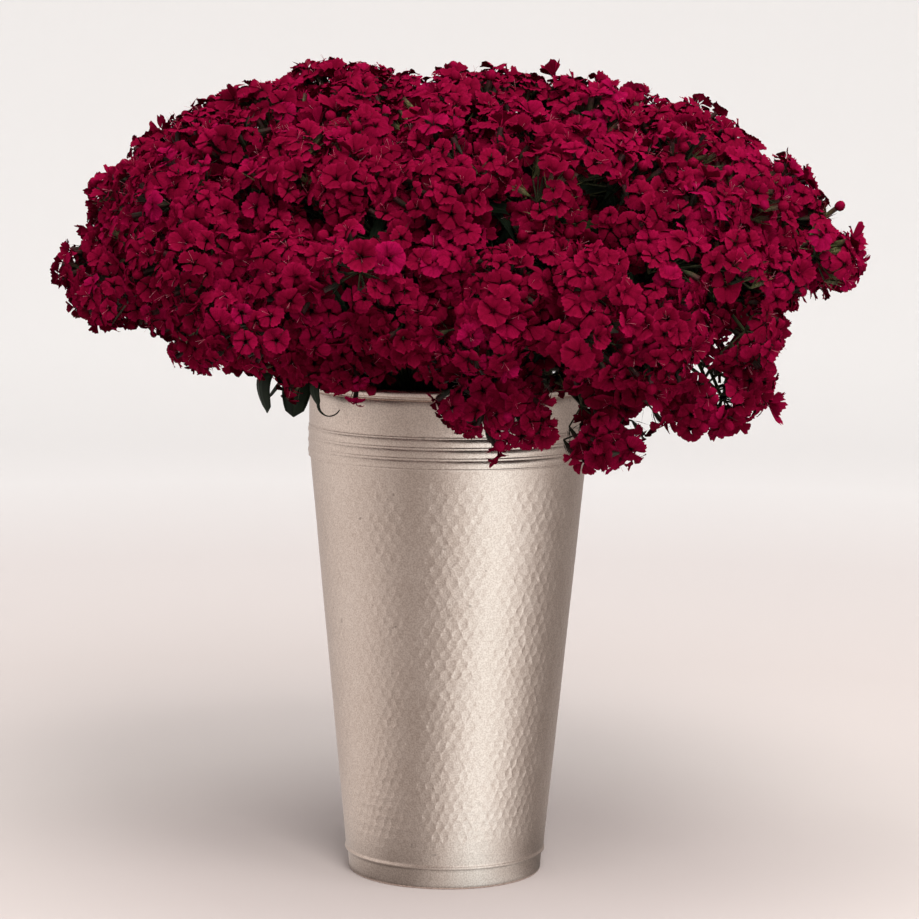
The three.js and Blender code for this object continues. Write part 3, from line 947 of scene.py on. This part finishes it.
def spaced(points, ways, spacing, taken):
    """Of points in their order, those that keep the spacing from each other and from the places taken."""
    tips, facings = list(taken), []
    for point, way in zip(points, ways):
        if not tips or np.linalg.norm(np.array(tips) - point, axis=1).min() > spacing:
            tips.append(point)
            facings.append(way)
    return tips[len(taken):], facings


def place_heads(rng):
    """Tips and facings of the heads, and which are deep. Outline heads come first, deep ones last."""
    tips, facings = map(list, outline_heads(rng))
    azimuth = rng.uniform(0, 360, CANDIDATES)
    upper = rng.uniform(0, 1, CANDIDATES) < UPPER_SHARE
    spread = np.sqrt(rng.uniform(0, 1, CANDIDATES))
    spread = np.where(upper, spread, UNDERSIDE_START + (1 - UNDERSIDE_START) * spread)
    edge = rng.uniform(0, 1, CANDIDATES) < EDGE_SHARE
    spread = np.where(edge & upper, 1 - EDGE_WIDTH * rng.uniform(0, 1, CANDIDATES) ** 2, spread)
    surface, ways = mound_surface(azimuth, spread, upper)
    points = surface - ways * rng.uniform(0, HEAD_UNEVENNESS, CANDIDATES)[:, None]
    within = outline_margin(pixels_of(points)) > OUTLINE_INSET
    rounds = [(points[within], ways[within], gap) for gap in np.linspace(HEAD_SPACING, HEAD_SPACING_LEAST, 4)]
    rounds.append((*hanging_heads(rng), HANGING_SPACING))
    for points, facing, spacing in rounds:
        more_tips, more_facings = spaced(points, facing, spacing, tips)
        tips += more_tips
        facings += more_facings
    outer = len(tips)
    points = surface - ways * rng.uniform(*DEEP_HEAD_DEPTH, CANDIDATES)[:, None]
    within = outline_margin(pixels_of(points)) > DEEP_HEAD_MARGIN
    deep_tips, deep_facings = spaced(points[within], ways[within], DEEP_HEAD_SPACING, [])
    deep = np.arange(outer + len(deep_tips)) >= outer
    return np.array(tips + deep_tips), unit(np.array(facings + deep_facings)), deep


def place_flowers(tips, facings, deep, rng):
    """Places, axes and heads of all flowers, and the point inside each head where its stem ends."""
    places, axes, owners, bases = [], [], [], []
    for head, (tip, facing) in enumerate(zip(tips, facings)):
        radius = rng.uniform(*HEAD_RADIUS)
        spread = rng.uniform(*HEAD_SPREAD)
        base = tip - facing * radius
        area = DEEP_FLOWER_AREA if deep[head] else FLOWER_AREA
        count = round(2 * pi * radius ** 2 * (1 - cos(spread)) / area)
        index = np.arange(count) + 0.5
        tilt = np.arccos(1 - index / count * (1 - cos(spread))) + rng.normal(0, TILT_SCATTER, count)
        turn = GOLDEN_TURN * index + rng.uniform(0, 2 * pi) + rng.normal(0, TURN_SCATTER, count)
        local = np.stack([np.sin(tilt) * np.cos(turn), np.sin(tilt) * np.sin(turn), np.cos(tilt)], axis=-1)
        rays = local @ facing_frames(facing[None], np.zeros(1))[0].T
        places.append(base + rays * radius * rng.normal(1, HEAD_ROUGHNESS, count)[:, None])
        axes.append(unit(rays + AXIS_TOWARDS_HEAD * facing + rng.normal(0, AXIS_SCATTER, (count, 3))))
        owners.append(np.full(count, head))
        bases.append(base)
    return np.concatenate(places), np.concatenate(axes), np.concatenate(owners), np.array(bases)


def thinned(places):
    """Which flowers to keep, so that none grows inside another. The outer one stays."""
    middle = np.array([0, 0, MOUND_MIDDLE - 0.1])
    order = np.argsort(-np.linalg.norm(places - middle, axis=1))
    kept = []
    for index in order:
        if not kept or np.linalg.norm(places[kept] - places[index], axis=1).min() > FLOWER_CLEARANCE:
            kept.append(index)
    return np.sort(np.array(kept))


def covered(places, outward):
    """Whether each flower has others close over it, which hide it."""
    hidden = []
    for place, way in zip(places, outward):
        offset = places - place
        height = offset @ way
        aside = np.sqrt(np.maximum((offset ** 2).sum(axis=1) - height ** 2, 0))
        over = (height > COVER_HEIGHT) & (height < COVER_REACH) & (aside < FLOWER_RADIUS)
        hidden.append(over.sum() >= COVER_COUNT)
    return np.array(hidden)


def shown_buds(bases, rng):
    """Places, axes and heads of the red buds that the photograph shows, then of the green ones in tufts."""
    red, green = ([place_of(spot[:2], spot[2]) for spot in spots] for spots in (RED_BUDS, GREEN_TUFTS))
    green = np.repeat(green, TUFT_BUDS, axis=0)
    places = np.concatenate([red, green + rng.normal(0, TUFT_SCATTER, green.shape)])
    owners = nearest(bases, places)
    axes = unit(unit(places - bases[owners]) + rng.normal(0, BUD_LEAN, places.shape))
    return places, axes, owners


def row_strip(first, count, after, after_count):
    """Triangles between two rows of points that have different counts."""
    faces = []
    i = j = 0
    while i < count - 1 or j < after_count - 1:
        ahead = (i + 1) / (count - 1) if i < count - 1 else 2
        ahead_after = (j + 1) / (after_count - 1) if j < after_count - 1 else 2
        if ahead < ahead_after:
            faces.append((first + i, first + i + 1, after + j))
            i += 1
        else:
            faces.append((first + i, after + j + 1, after + j))
            j += 1
    return faces


def petal_pattern(rows):
    """A petal's points along and across it, half widths, faces, and where the points of its edge start."""
    lengths, widths, counts = zip(*rows)
    along = np.repeat(lengths, counts)
    half = np.repeat(widths, counts)
    across = np.concatenate([np.linspace(-1, 1, count) for count in counts])
    starts = np.cumsum((0,) + counts)
    faces = []
    for i in range(len(rows) - 1):
        faces += row_strip(starts[i], counts[i], starts[i + 1], counts[i + 1])
    return along, across, half, np.array(faces), starts[-2]


def petal_patch(places, axes, tints, rng, rows=PETAL_ROWS):
    """The five petals of every open flower: toothed wedges that overlap like a pinwheel."""
    along, across, half, faces, margin = petal_pattern(rows)
    flowers = len(places)
    shape = (flowers, PETALS, 1)
    whole = (flowers, 1, 1)
    size = np.clip(rng.normal(1, FLOWER_VARIATION, whole), *FLOWER_SIZES)
    length = FLOWER_RADIUS * size * rng.normal(1, PETAL_VARIATION, shape)
    breadth = rng.uniform(*PETAL_BREADTH, whole)
    closing = np.where(rng.uniform(0, 1, whole) < CLOSING_SHARE, rng.uniform(*CLOSING_LIFT, whole), 0)
    lift = rng.normal(*FLOWER_LIFT, whole) + rng.normal(*PETAL_LIFT, shape) + closing
    droop = rng.normal(*FLOWER_DROOP, whole) + rng.normal(*PETAL_DROOP, shape)
    twist = rng.normal(*PETAL_TWIST, shape)
    fold = rng.normal(*PETAL_FOLD, shape)
    phase = rng.uniform(0, 2 * pi, shape)
    ruffle = rng.uniform(*PETAL_RUFFLE, shape)
    crinkle = rng.uniform(*PETAL_CRINKLE, shape)
    count = len(along)
    teeth = np.zeros((flowers, PETALS, count))
    zigzag = np.where(np.arange(count - margin) % 2 == 0, TOOTH, -TOOTH)
    teeth[..., margin:] = zigzag + rng.normal(0, TOOTH_VARIATION, (flowers, PETALS, count - margin))
    reach = along * (1 - PETAL_ROUNDING * along * across ** 2 + teeth)
    out = THROAT_RADIUS + (length - THROAT_RADIUS) * reach
    side = across * half * length * breadth
    height = lift * out - droop * length * along ** 2.2 + side * twist - fold * half * length * across ** 2
    height = height + ruffle * length * along ** 2 * np.sin(3.2 * across + phase)
    height = height + crinkle * length * along ** 4 * np.sin(8 * across + 2 * phase)
    height = height - THROAT_DEPTH * np.exp(-along / THROAT_WIDTH)
    turn = np.arange(PETALS)[None, :, None] * 2 * pi / PETALS + rng.normal(0, PETAL_SWING, shape)
    x = out * np.cos(turn) - side * np.sin(turn)
    y = out * np.sin(turn) + side * np.cos(turn)
    local = np.stack([x, y, height], axis=-1).reshape(flowers, PETALS * count, 3)
    points = placed(facing_frames(axes, rng.uniform(0, 2 * pi, flowers)), places, local)
    tint = np.broadcast_arrays(tints[:, None, None], rng.uniform(0, 1, shape), np.zeros(count))
    return Patch(points.reshape(flowers, PETALS, count, 3), repeated(faces, flowers * PETALS, count),
                 np.stack([0.5 + 0.5 * across, along], axis=-1), np.stack(tint, axis=-1))


def turned_patch(places, axes, section, sides, tints, folds=0.0):
    """Small turned bodies, one at each place: a section is radius and distance along the axis."""
    local = turned_rows(section, sides)
    local[..., :2] *= (1 + folds * np.cos(PETALS * np.linspace(0, 2 * pi, sides, endpoint=False)))[:, None]
    size = len(section) * sides
    local = np.broadcast_to(local.reshape(size, 3), (len(places), size, 3))
    points = placed(facing_frames(axes, tints * 6), places, local)
    faces = repeated(grid_faces(len(section), sides), len(places), size)
    return Patch(points, faces, grid_places(len(section), sides), tints[:, None, None])


def bud_patch(places, axes, tints):
    """Buds that are about to open: round, with five folds."""
    section = [(radius * BUD_RADIUS, height - BUD_SINK) for radius, height in BUD_SECTION]
    return turned_patch(places, axes, section, BUD_SIDES, tints, BUD_FOLDS)


def calyx_patch(places, axes, tints):
    """The tube that each flower stands in, wider above its foot."""
    section = ((PEDICEL_RADIUS, -CALYX_LENGTH), (CALYX_RADIUS, -0.6 * CALYX_LENGTH), (CALYX_RADIUS, -0.0015))
    return turned_patch(places, axes, section, CALYX_SIDES, tints)


def pedicel_patch(starts, ends):
    """Straight three-sided stalks from where the head's stem ends to each calyx or hidden flower."""
    axes = ends - starts
    length = np.linalg.norm(axes, axis=1, keepdims=True)
    low = np.broadcast_to(circle(3) * PEDICEL_RADIUS, (len(starts), 3, 3))
    local = np.concatenate([low, low + length[:, None] * [0, 0, 1]], axis=1)
    points = placed(facing_frames(axes / length, np.zeros(len(starts))), starts, local)
    return Patch(points, repeated(grid_faces(2, 3), len(starts), 6), grid_places(2, 3) * [1, 0.3])


def bract_patch(places, axes, tints, rng):
    """Needle bracts that stand out round the foot of each calyx."""
    count = len(places) * BRACTS
    spins = rng.uniform(0, 2 * pi, count)
    frames = facing_frames(np.repeat(axes, BRACTS, axis=0), spins)
    lean = rng.uniform(*BRACT_LEANS, count)[:, None]
    size = rng.uniform(*BRACT_SIZES, count)[:, None] * BRACT_LENGTH
    foot = np.repeat(places - axes * CALYX_LENGTH, BRACTS, axis=0)
    way = frames[:, :, 0] * np.sin(lean) + frames[:, :, 2] * np.cos(lean)
    side = frames[:, :, 1] * BRACT_WIDTH / 2
    middle = foot + way * size * BRACT_MIDDLE + frames[:, :, 0] * BRACT_BULGE
    points = np.stack([foot, middle + side, middle - side, foot + way * size], axis=1)
    faces = repeated(np.array([[0, 1, 2], [1, 3, 2]]), count, 4)
    uv = [[0.5, 0.0], [1.0, 0.1], [0.0, 0.1], [0.5, 0.3]]
    return Patch(points, faces, uv, np.repeat(tints, BRACTS)[:, None, None])


def stamen_patch(places, axes, rng):
    """Fine curled threads that stand out of the throat of some flowers."""
    chosen = np.flatnonzero(rng.uniform(0, 1, len(places)) < STAMEN_SHARE)
    count = len(chosen) * STAMENS
    frames = facing_frames(np.repeat(axes[chosen], STAMENS, axis=0), rng.uniform(0, 2 * pi, count))
    t = np.linspace(0, 1, STAMEN_STATIONS)
    lean = rng.uniform(*STAMEN_LEANS, (count, 1))
    curl = rng.uniform(*STAMEN_CURLS, (count, 1))
    length = rng.uniform(*STAMEN_SIZES, (count, 1)) * STAMEN_LENGTH
    out = length * (np.sin(lean) * t + curl * t ** 2 * 0.5)
    up = length * (np.cos(lean) * t - 0.2 * curl * t ** 3)
    spine = np.stack([out, 0 * out, up], axis=-1)
    size = 3 * STAMEN_STATIONS
    local = (spine[:, :, None] + circle(3) * STAMEN_RADIUS).reshape(count, size, 3)
    points = placed(frames, np.repeat(places[chosen], STAMENS, axis=0), local)
    faces = repeated(grid_faces(STAMEN_STATIONS, 3), count, size)
    return Patch(points, faces, grid_places(STAMEN_STATIONS, 3), finish=1)


def tube_patch(path, radii, sides):
    """A tube along a path, with its rings square to it."""
    tangent = unit(np.gradient(path, axis=0))
    side = unit(np.cross(tangent, [0.31, 0.17, 0.05]))
    other = np.cross(tangent, side)
    turn = np.linspace(0, 2 * pi, sides, endpoint=False)
    ring = np.cos(turn)[None, :, None] * side[:, None] + np.sin(turn)[None, :, None] * other[:, None]
    points = path[:, None] + ring * radii[:, None, None]
    return Patch(points.reshape(-1, 3), grid_faces(len(path), sides), grid_places(len(path), sides))


def pointed(width, stations):
    """Half widths along a slender leaf that comes to a point."""
    t = np.linspace(0, 1, stations)
    half = width / 2 * np.sin(pi * np.clip(0.02 + 0.98 * t, 0, 1) ** 0.8) ** 0.75
    half[-1] = 0.0002
    return half


def leaf_patch(spine, half, across_way, fold, tint, columns=2, thickness=LEAF_THICKNESS):
    """A leaf along a spine, folded a little along its midrib, with an upper and a lower face."""
    tangent = unit(np.gradient(spine, axis=0))
    side = unit(across_way - (tangent @ across_way)[:, None] * tangent)
    up = np.cross(side, tangent)
    share = np.linspace(-1, 1, columns + 1)
    flat = spine[:, None] + share[None, :, None] * (side * half[:, None])[:, None]
    raised = flat + (np.abs(share)[None, :] * half[:, None] * fold)[..., None] * up[:, None]
    lift = up[:, None] * (thickness / 2 * (1 - share ** 2))[None, :, None]
    points = np.concatenate([raised + lift, (raised - lift)[:, ::-1]], axis=1)
    places = grid_places(len(spine), columns + 1).reshape(len(spine), -1, 2)
    uv = np.concatenate([places, places[:, ::-1]], axis=1)
    return Patch(points, grid_faces(len(spine), 2 * (columns + 1)), uv, (tint, 0.5, 0.5))


def bezier(controls, steps):
    """Points on the cubic curve with those four controls."""
    t = np.linspace(0, 1, steps)[:, None]
    a, b, c, d = (np.asarray(point) for point in controls)
    return a * (1 - t) ** 3 + 3 * b * t * (1 - t) ** 2 + 3 * c * t ** 2 * (1 - t) + d * t ** 3


def inside_mound(points):
    """Whether points lie within the mound, clear of the flowers, and clear of the bucket's wall."""
    plan = np.hypot(points[:, 0], points[:, 1])
    azimuth = np.degrees(np.arctan2(points[:, 1], points[:, 0]))
    height = points[:, 2] - MOUND_MIDDLE
    rise = np.where(height > 0, MOUND_RISE, mound_drop(azimuth))
    level = (plan / mound_reach(azimuth)) ** MOUND_SQUARENESS + (np.abs(height) / rise) ** MOUND_SQUARENESS
    by_wall = (np.abs(plan - COLLAR_RADIUS) < WALL_CLEARANCE) & (points[:, 2] < BUCKET_HEIGHT + RIM_CLEARANCE)
    return (level < FOLIAGE_LEVEL) & ~by_wall


def stem_leaves(path, rng):
    """Opposite pairs of leaves up a stem, each pair square to the last."""
    leaves = []
    tangent = unit(np.gradient(path, axis=0))
    turn = rng.uniform(0, 2 * pi)
    for number, share in enumerate(STEM_NODES):
        at = share * (len(path) - 1)
        ring = int(at)
        foot = path[ring] + (path[ring + 1] - path[ring]) * (at - ring)
        frames = facing_frames(tangent[ring][None], np.array([turn + number * pi / 2]))[0]
        size = LEAF_LENGTH[0] + (LEAF_LENGTH[1] - LEAF_LENGTH[0]) * share
        width = LEAF_WIDTH[0] + (LEAF_WIDTH[1] - LEAF_WIDTH[0]) * share
        for sign in (1, -1):
            way = sign * frames[:, 0]
            length = size * rng.uniform(0.75, 1.15)
            rise = foot + 0.4 * length * unit(way * 0.8 + frames[:, 2])
            bend = foot + 0.8 * length * unit(way * 1.2 + frames[:, 2] * 0.5)
            tip = bend + length * np.array([0.25 * way[0], 0.25 * way[1], rng.uniform(-0.35, 0.0)])
            spine = bezier((foot, rise, bend, tip), LEAF_STATIONS)
            if inside_mound(spine).all():
                half = pointed(width, LEAF_STATIONS)
                leaves.append(leaf_patch(spine, half, frames[:, 1], LEAF_FOLD, rng.uniform(0, 1)))
    return leaves


def stem_route(root, base, facing):
    """From the soil, up out of the bucket and over to the back of a flower head."""
    outward = np.array([base[0], base[1], 0.0])
    reach = np.linalg.norm(outward)
    lean = outward / max(reach, 0.02)
    climb = root + STEM_CLIMB * unit(np.array([0, 0, 1.0]) + STEM_LEAN * lean)
    approach = base - STEM_APPROACH * facing + np.array([0, 0, STEM_ARCH])
    return bezier((root, climb, approach, base), STEM_RINGS)


def stem_radii(count):
    """Slimmer towards the head, and swollen where the leaves sit."""
    t = np.linspace(0, 1, count)
    radii = STEM_RADIUS + (STEM_TIP_RADIUS - STEM_RADIUS) * t
    for node in STEM_NODES:
        radii = radii * (1 + STEM_NODE_SWELL * np.exp(-((t - node) / STEM_NODE_REACH) ** 2))
    return radii


def kept_flowers(places, axes, owners, rng):
    """Which flowers to keep: within the outline, clear of the gaps and each other, with enough on a head."""
    pixels = pixels_of(places)
    shown = within_outline(places, axes, rng) & clear_of(pixels, OPEN_GAPS, GAP_REACH)
    shown = np.flatnonzero(shown & ~in_dark_gap(places, pixels))
    kept = shown[thinned(places[shown])]
    return kept[np.bincount(owners[kept])[owners[kept]] >= HEAD_LEAST]


def add_flowers(petal, stamen, calyx, rng):
    """Two pieces for each packed cluster: its flowers, and the green below them. Returns the heads used."""
    tips, facings, deep = place_heads(rng)
    places, axes, owners, bases = place_flowers(tips, facings, deep, rng)
    kept = kept_flowers(places, axes, owners, rng)
    places, axes, owners = places[kept], axes[kept], owners[kept]
    # Deep heads' flowers get a lower tint: painted shade for the crevices they fill.
    head_shades = rng.uniform(-HEAD_SHADES, HEAD_SHADES, len(tips)) - DEEP_PAINTED_SHADE * deep
    head_greens = rng.uniform(0, 1, len(tips)) ** 3
    shades = np.clip(rng.normal(*FLOWER_SHADES, len(places)) + head_shades[owners], 0, 1)
    hidden = covered(places, facings[owners]) | deep[owners]
    budding = rng.uniform(0, 1, len(places)) < BUD_SHARE
    kinds = np.where(hidden, HIDDEN, np.where(budding, RED_BUD, OPEN))
    grown = (places, axes, owners, shades, head_greens[owners], kinds)
    places, axes, owners = shown_buds(bases, rng)
    red = np.arange(len(places)) < len(RED_BUDS)
    greens = np.where(red, RED_BUD_GREEN, 1.0)
    shown = (places, axes, owners, np.full(len(red), BUD_SHADE), greens, np.where(red, RED_BUD, GREEN_BUD))
    places, axes, owners, shades, greens, kinds = map(np.concatenate, zip(grown, shown))
    clusters = node_names("flower_cluster")
    middles = np.array([node_points(name).mean(0) for name in clusters])
    head_clusters = nearest(middles, bases)
    for number, name in enumerate(clusters):
        mine = head_clusters[owners] == number
        flowers, under, buds = (np.flatnonzero(mine & (kinds == kind)) for kind in (OPEN, HIDDEN, RED_BUD))
        patches = [petal_patch(places[flowers], axes[flowers], shades[flowers], rng)]
        if len(under):
            patches.append(petal_patch(places[under], axes[under], shades[under], rng, DEEP_PETAL_ROWS))
        patches.append(bud_patch(places[buds], axes[buds], shades[buds]))
        patches.append(stamen_patch(places[flowers], axes[flowers], rng))
        add_piece("flowers_" + name[-2:], patches, [petal, stamen], [name])
        clear = np.flatnonzero(mine & (kinds != HIDDEN))
        patches = [
            calyx_patch(places[clear], axes[clear], greens[clear]),
            pedicel_patch(bases[owners[clear]], places[clear] - axes[clear] * CALYX_LENGTH),
            pedicel_patch(bases[owners[under]], places[under]),
            bract_patch(places[clear], axes[clear], greens[clear], rng),
        ]
        add_piece("calyces_" + name[-2:], patches, [calyx])
    living = np.unique(owners)
    return bases[living], facings[living], deep[living], middles[head_clusters[living]]


def add_stems(bases, facings, deep, middles, stem_green, leaf_green, rng):
    """A stem for each head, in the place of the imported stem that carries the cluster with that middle."""
    names = node_names("stem")
    corners = [node_points(name) for name in names]
    carriers = np.repeat(np.arange(len(names)), [len(points) for points in corners])
    carriers = carriers[nearest(np.concatenate(corners), middles)]
    for number, (name, points) in enumerate(zip(names, corners)):
        root = points[points[:, 2] < points[:, 2].min() + ROOT_BAND].mean(0)
        stems, leaves = [], []
        for head in np.flatnonzero(carriers == number):
            start = root + ROOT_SCATTER * np.sqrt(rng.uniform(0.05, 1)) * bearing(rng.uniform(0, 360))
            start[2] = SOIL_TOP - ROOT_DEPTH
            path = stem_route(start, bases[head], facings[head])
            stems.append(tube_patch(path, stem_radii(len(path)), STEM_SIDES))
            if not deep[head]:
                leaves += stem_leaves(path, rng)
        add_piece("stems_" + name[-2:], stems, [stem_green], [name])
        add_piece("foliage_" + name[-2:], leaves, [leaf_green])


def add_hanging_leaves(leaf_green):
    """The broad leaves round the rim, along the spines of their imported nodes."""
    names = node_names("leaf")
    for name, tint in zip(names, np.linspace(*BLADE_TINTS, len(names))):
        points = node_points(name)
        base = points[np.hypot(points[:, 0], points[:, 1]).argmin()]
        out = np.hypot(points[:, 0] - base[0], points[:, 1] - base[1])
        points = points[np.argsort(np.arctan2(out, points[:, 2] - points[:, 2].min()))]
        rings = points[1:-1].reshape(-1, 4, 3)
        middles = rings.mean(axis=1)
        stations = np.concatenate([points[:1], middles, points[-1:]])
        t = np.linspace(0, 1, BLADE_STATIONS)
        at = np.linspace(0, 1, len(stations))
        spine = np.stack([np.interp(t, at, stations[:, axis]) for axis in range(3)], axis=1)
        for _ in range(3):
            spine[1:-1] = (spine[:-2] + 2 * spine[1:-1] + spine[2:]) / 4
        width = np.linalg.norm(rings - middles[:, None], axis=2).max()
        half = BLADE_END + width * np.sin(pi * t ** BLADE_LATENESS) ** BLADE_FULLNESS
        if name == CURLED_LEAF:
            turn = np.linspace(0, CURL_TURN, CURL_STEPS + 1)[1:, None]
            curl = np.concatenate([1 - np.cos(turn), 0 * turn, -np.sin(turn)], axis=1)
            spine = np.concatenate([spine, spine[-1] + CURL_RADIUS * curl])
            end = np.linspace(CURL_WIDTH, CURL_WIDTH / 3, CURL_STEPS)
            half = np.concatenate([np.maximum(half, CURL_WIDTH), end])
        outward = points[-1] - base
        side = unit(np.array([-outward[1], outward[0], 0.0]))
        patch = leaf_patch(spine, half, side, BLADE_FOLD, tint, BLADE_COLUMNS, BLADE_THICKNESS)
        add_piece("blade_" + name, [patch], [leaf_green], [name])


def add_surround(name, section, columns, finish):
    """A surface turned round the plant that is not part of it."""
    points, faces = welded(turned_rows(section, columns), grid_faces(len(section), columns))
    mesh = bpy.data.meshes.new(name)
    mesh.from_pydata(points.tolist(), [], faces.tolist())
    mesh.shade_smooth()
    mesh.materials.append(finish.material)
    surface = linked(name, mesh)
    return surface


def add_stage():
    """A plain floor that curves up into a wall all round, painted darker round the bucket as painted shade
    and paler further out.
    """
    bend = STAGE_WALL - STAGE_FLAT
    section = [(0, 0)] + [(radius, 0) for radius in STAGE_RINGS]
    section += arc(STAGE_FLAT, bend, bend, -pi / 2, 0, 12)
    section.append((STAGE_WALL, STAGE_HEIGHT))
    finish = Finish("stage_paper", Roughness=0.9, Specular_IOR_Level=0.1)
    place = finish.object_place()
    distance = finish.add("VectorMath", {0: place}, operation="LENGTH").outputs["Value"]
    # Painted shade: the floor's colour darkens towards the bucket.
    finish.colour(finish.ramp(
        finish.grey(distance, 0.2, 4.0, 0, 1),
        (0.0, (0.41, 0.365, 0.355)), (0.06, (0.44, 0.40, 0.385)), (0.2, (0.48, 0.435, 0.42)),
        (0.4, (0.58, 0.54, 0.53)), (0.63, (0.74, 0.72, 0.715)), (1.0, (0.82, 0.81, 0.805))))
    add_surround("stage", section, STAGE_COLUMNS, finish)


def add_panels():
    """A ring of glowing panels that only glossy rays see, so that the metal has something to mirror: painted
    reflections, which darken towards the bucket's foot as painted shadow.
    """
    section = ((PANEL_FOOT, PANEL_LIFT), (PANEL_DISTANCE, PANEL_LIFT), (PANEL_DISTANCE, PANEL_HEIGHT))
    finish = Finish("panel_glow", Roughness=1.0, Base_Color=(0, 0, 0, 1), Specular_IOR_Level=0.0)
    place = finish.add("SeparateXYZ", {"Vector": finish.object_place()})
    backwards = finish.math("MULTIPLY", place.outputs["Y"], -1)
    azimuth = finish.math("ARCTAN2", place.outputs["X"], backwards)
    distance = finish.add("VectorMath", {0: finish.object_place()}, operation="LENGTH").outputs["Value"]
    swing = finish.grey(distance, PANEL_FOOT, PANEL_DISTANCE, PANEL_SWING, 0.0)
    share = finish.grey(finish.math("ADD", azimuth, swing), -pi, pi, 0, 1)
    brightest = max(tone for _, tone in PANEL_TONES)
    stops = []
    for degrees, tone in PANEL_TONES:
        whiteness = min(tone / brightest, 1) ** 2
        colour = tone * Vector(PANEL_DARK).lerp(Vector(PANEL_BRIGHT), whiteness)
        stops.append((degrees / 360 + 0.5, colour))
    black = (0, 0, 0)
    glow = finish.ramp(share, *stops)
    # Painted shadow: the glow darkens towards the bucket's foot, and to black right by it.
    glow = finish.mix(finish.grey(distance, PANEL_EDGE, PANEL_SHADE, 0.38, 0.0), glow, black)
    glow = finish.mix(finish.grey(distance, PANEL_FOOT, PANEL_EDGE, 0.85, 0.0), glow, black)
    finish.feed(finish.shader.inputs["Emission Color"], glow)
    finish.shader.inputs["Emission Strength"].default_value = 1.0
    panels = add_surround("panels", section, PANEL_COLUMNS, finish)
    panels.visible_camera = False
    panels.visible_diffuse = False
    panels.visible_shadow = False
    panels.visible_transmission = False


def add_softbox(name, azimuth, elevation, distance, width, height, power, colour):
    """A lamp that faces the plant and that neither the camera nor a reflection sees."""
    data = bpy.data.lights.new(name, "AREA")
    data.shape = "RECTANGLE"
    data.size = width
    data.size_y = height
    data.energy = power
    data.color = colour
    light = linked(name, data)
    light.location = LIGHT_AIM + distance * Vector(bearing(azimuth - 90, elevation))
    light.rotation_euler = (LIGHT_AIM - light.location).to_track_quat("-Z", "Y").to_euler()
    light.visible_camera = False
    light.visible_glossy = False


def add_world():
    world = bpy.data.worlds.new("studio")
    world.use_nodes = True
    background = world.node_tree.nodes["Background"]
    background.inputs["Color"].default_value = WORLD_COLOUR
    background.inputs["Strength"].default_value = WORLD_STRENGTH
    bpy.context.scene.world = world
    bpy.context.scene.view_settings.view_transform = "Standard"


def add_plant():
    rng = np.random.default_rng(7)
    leaf_green = leaf_finish()
    heads = add_flowers(petal_finish(), stamen_finish(), calyx_finish(), rng)
    add_stems(*heads, stem_finish(), leaf_green, rng)
    add_hanging_leaves(leaf_green)


add_camera()
add_bucket(bucket_finish())
add_soil(soil_finish())
add_plant()
add_stage()
add_panels()
for name, settings in SOFTBOXES.items():
    add_softbox(name, *settings)
add_world()
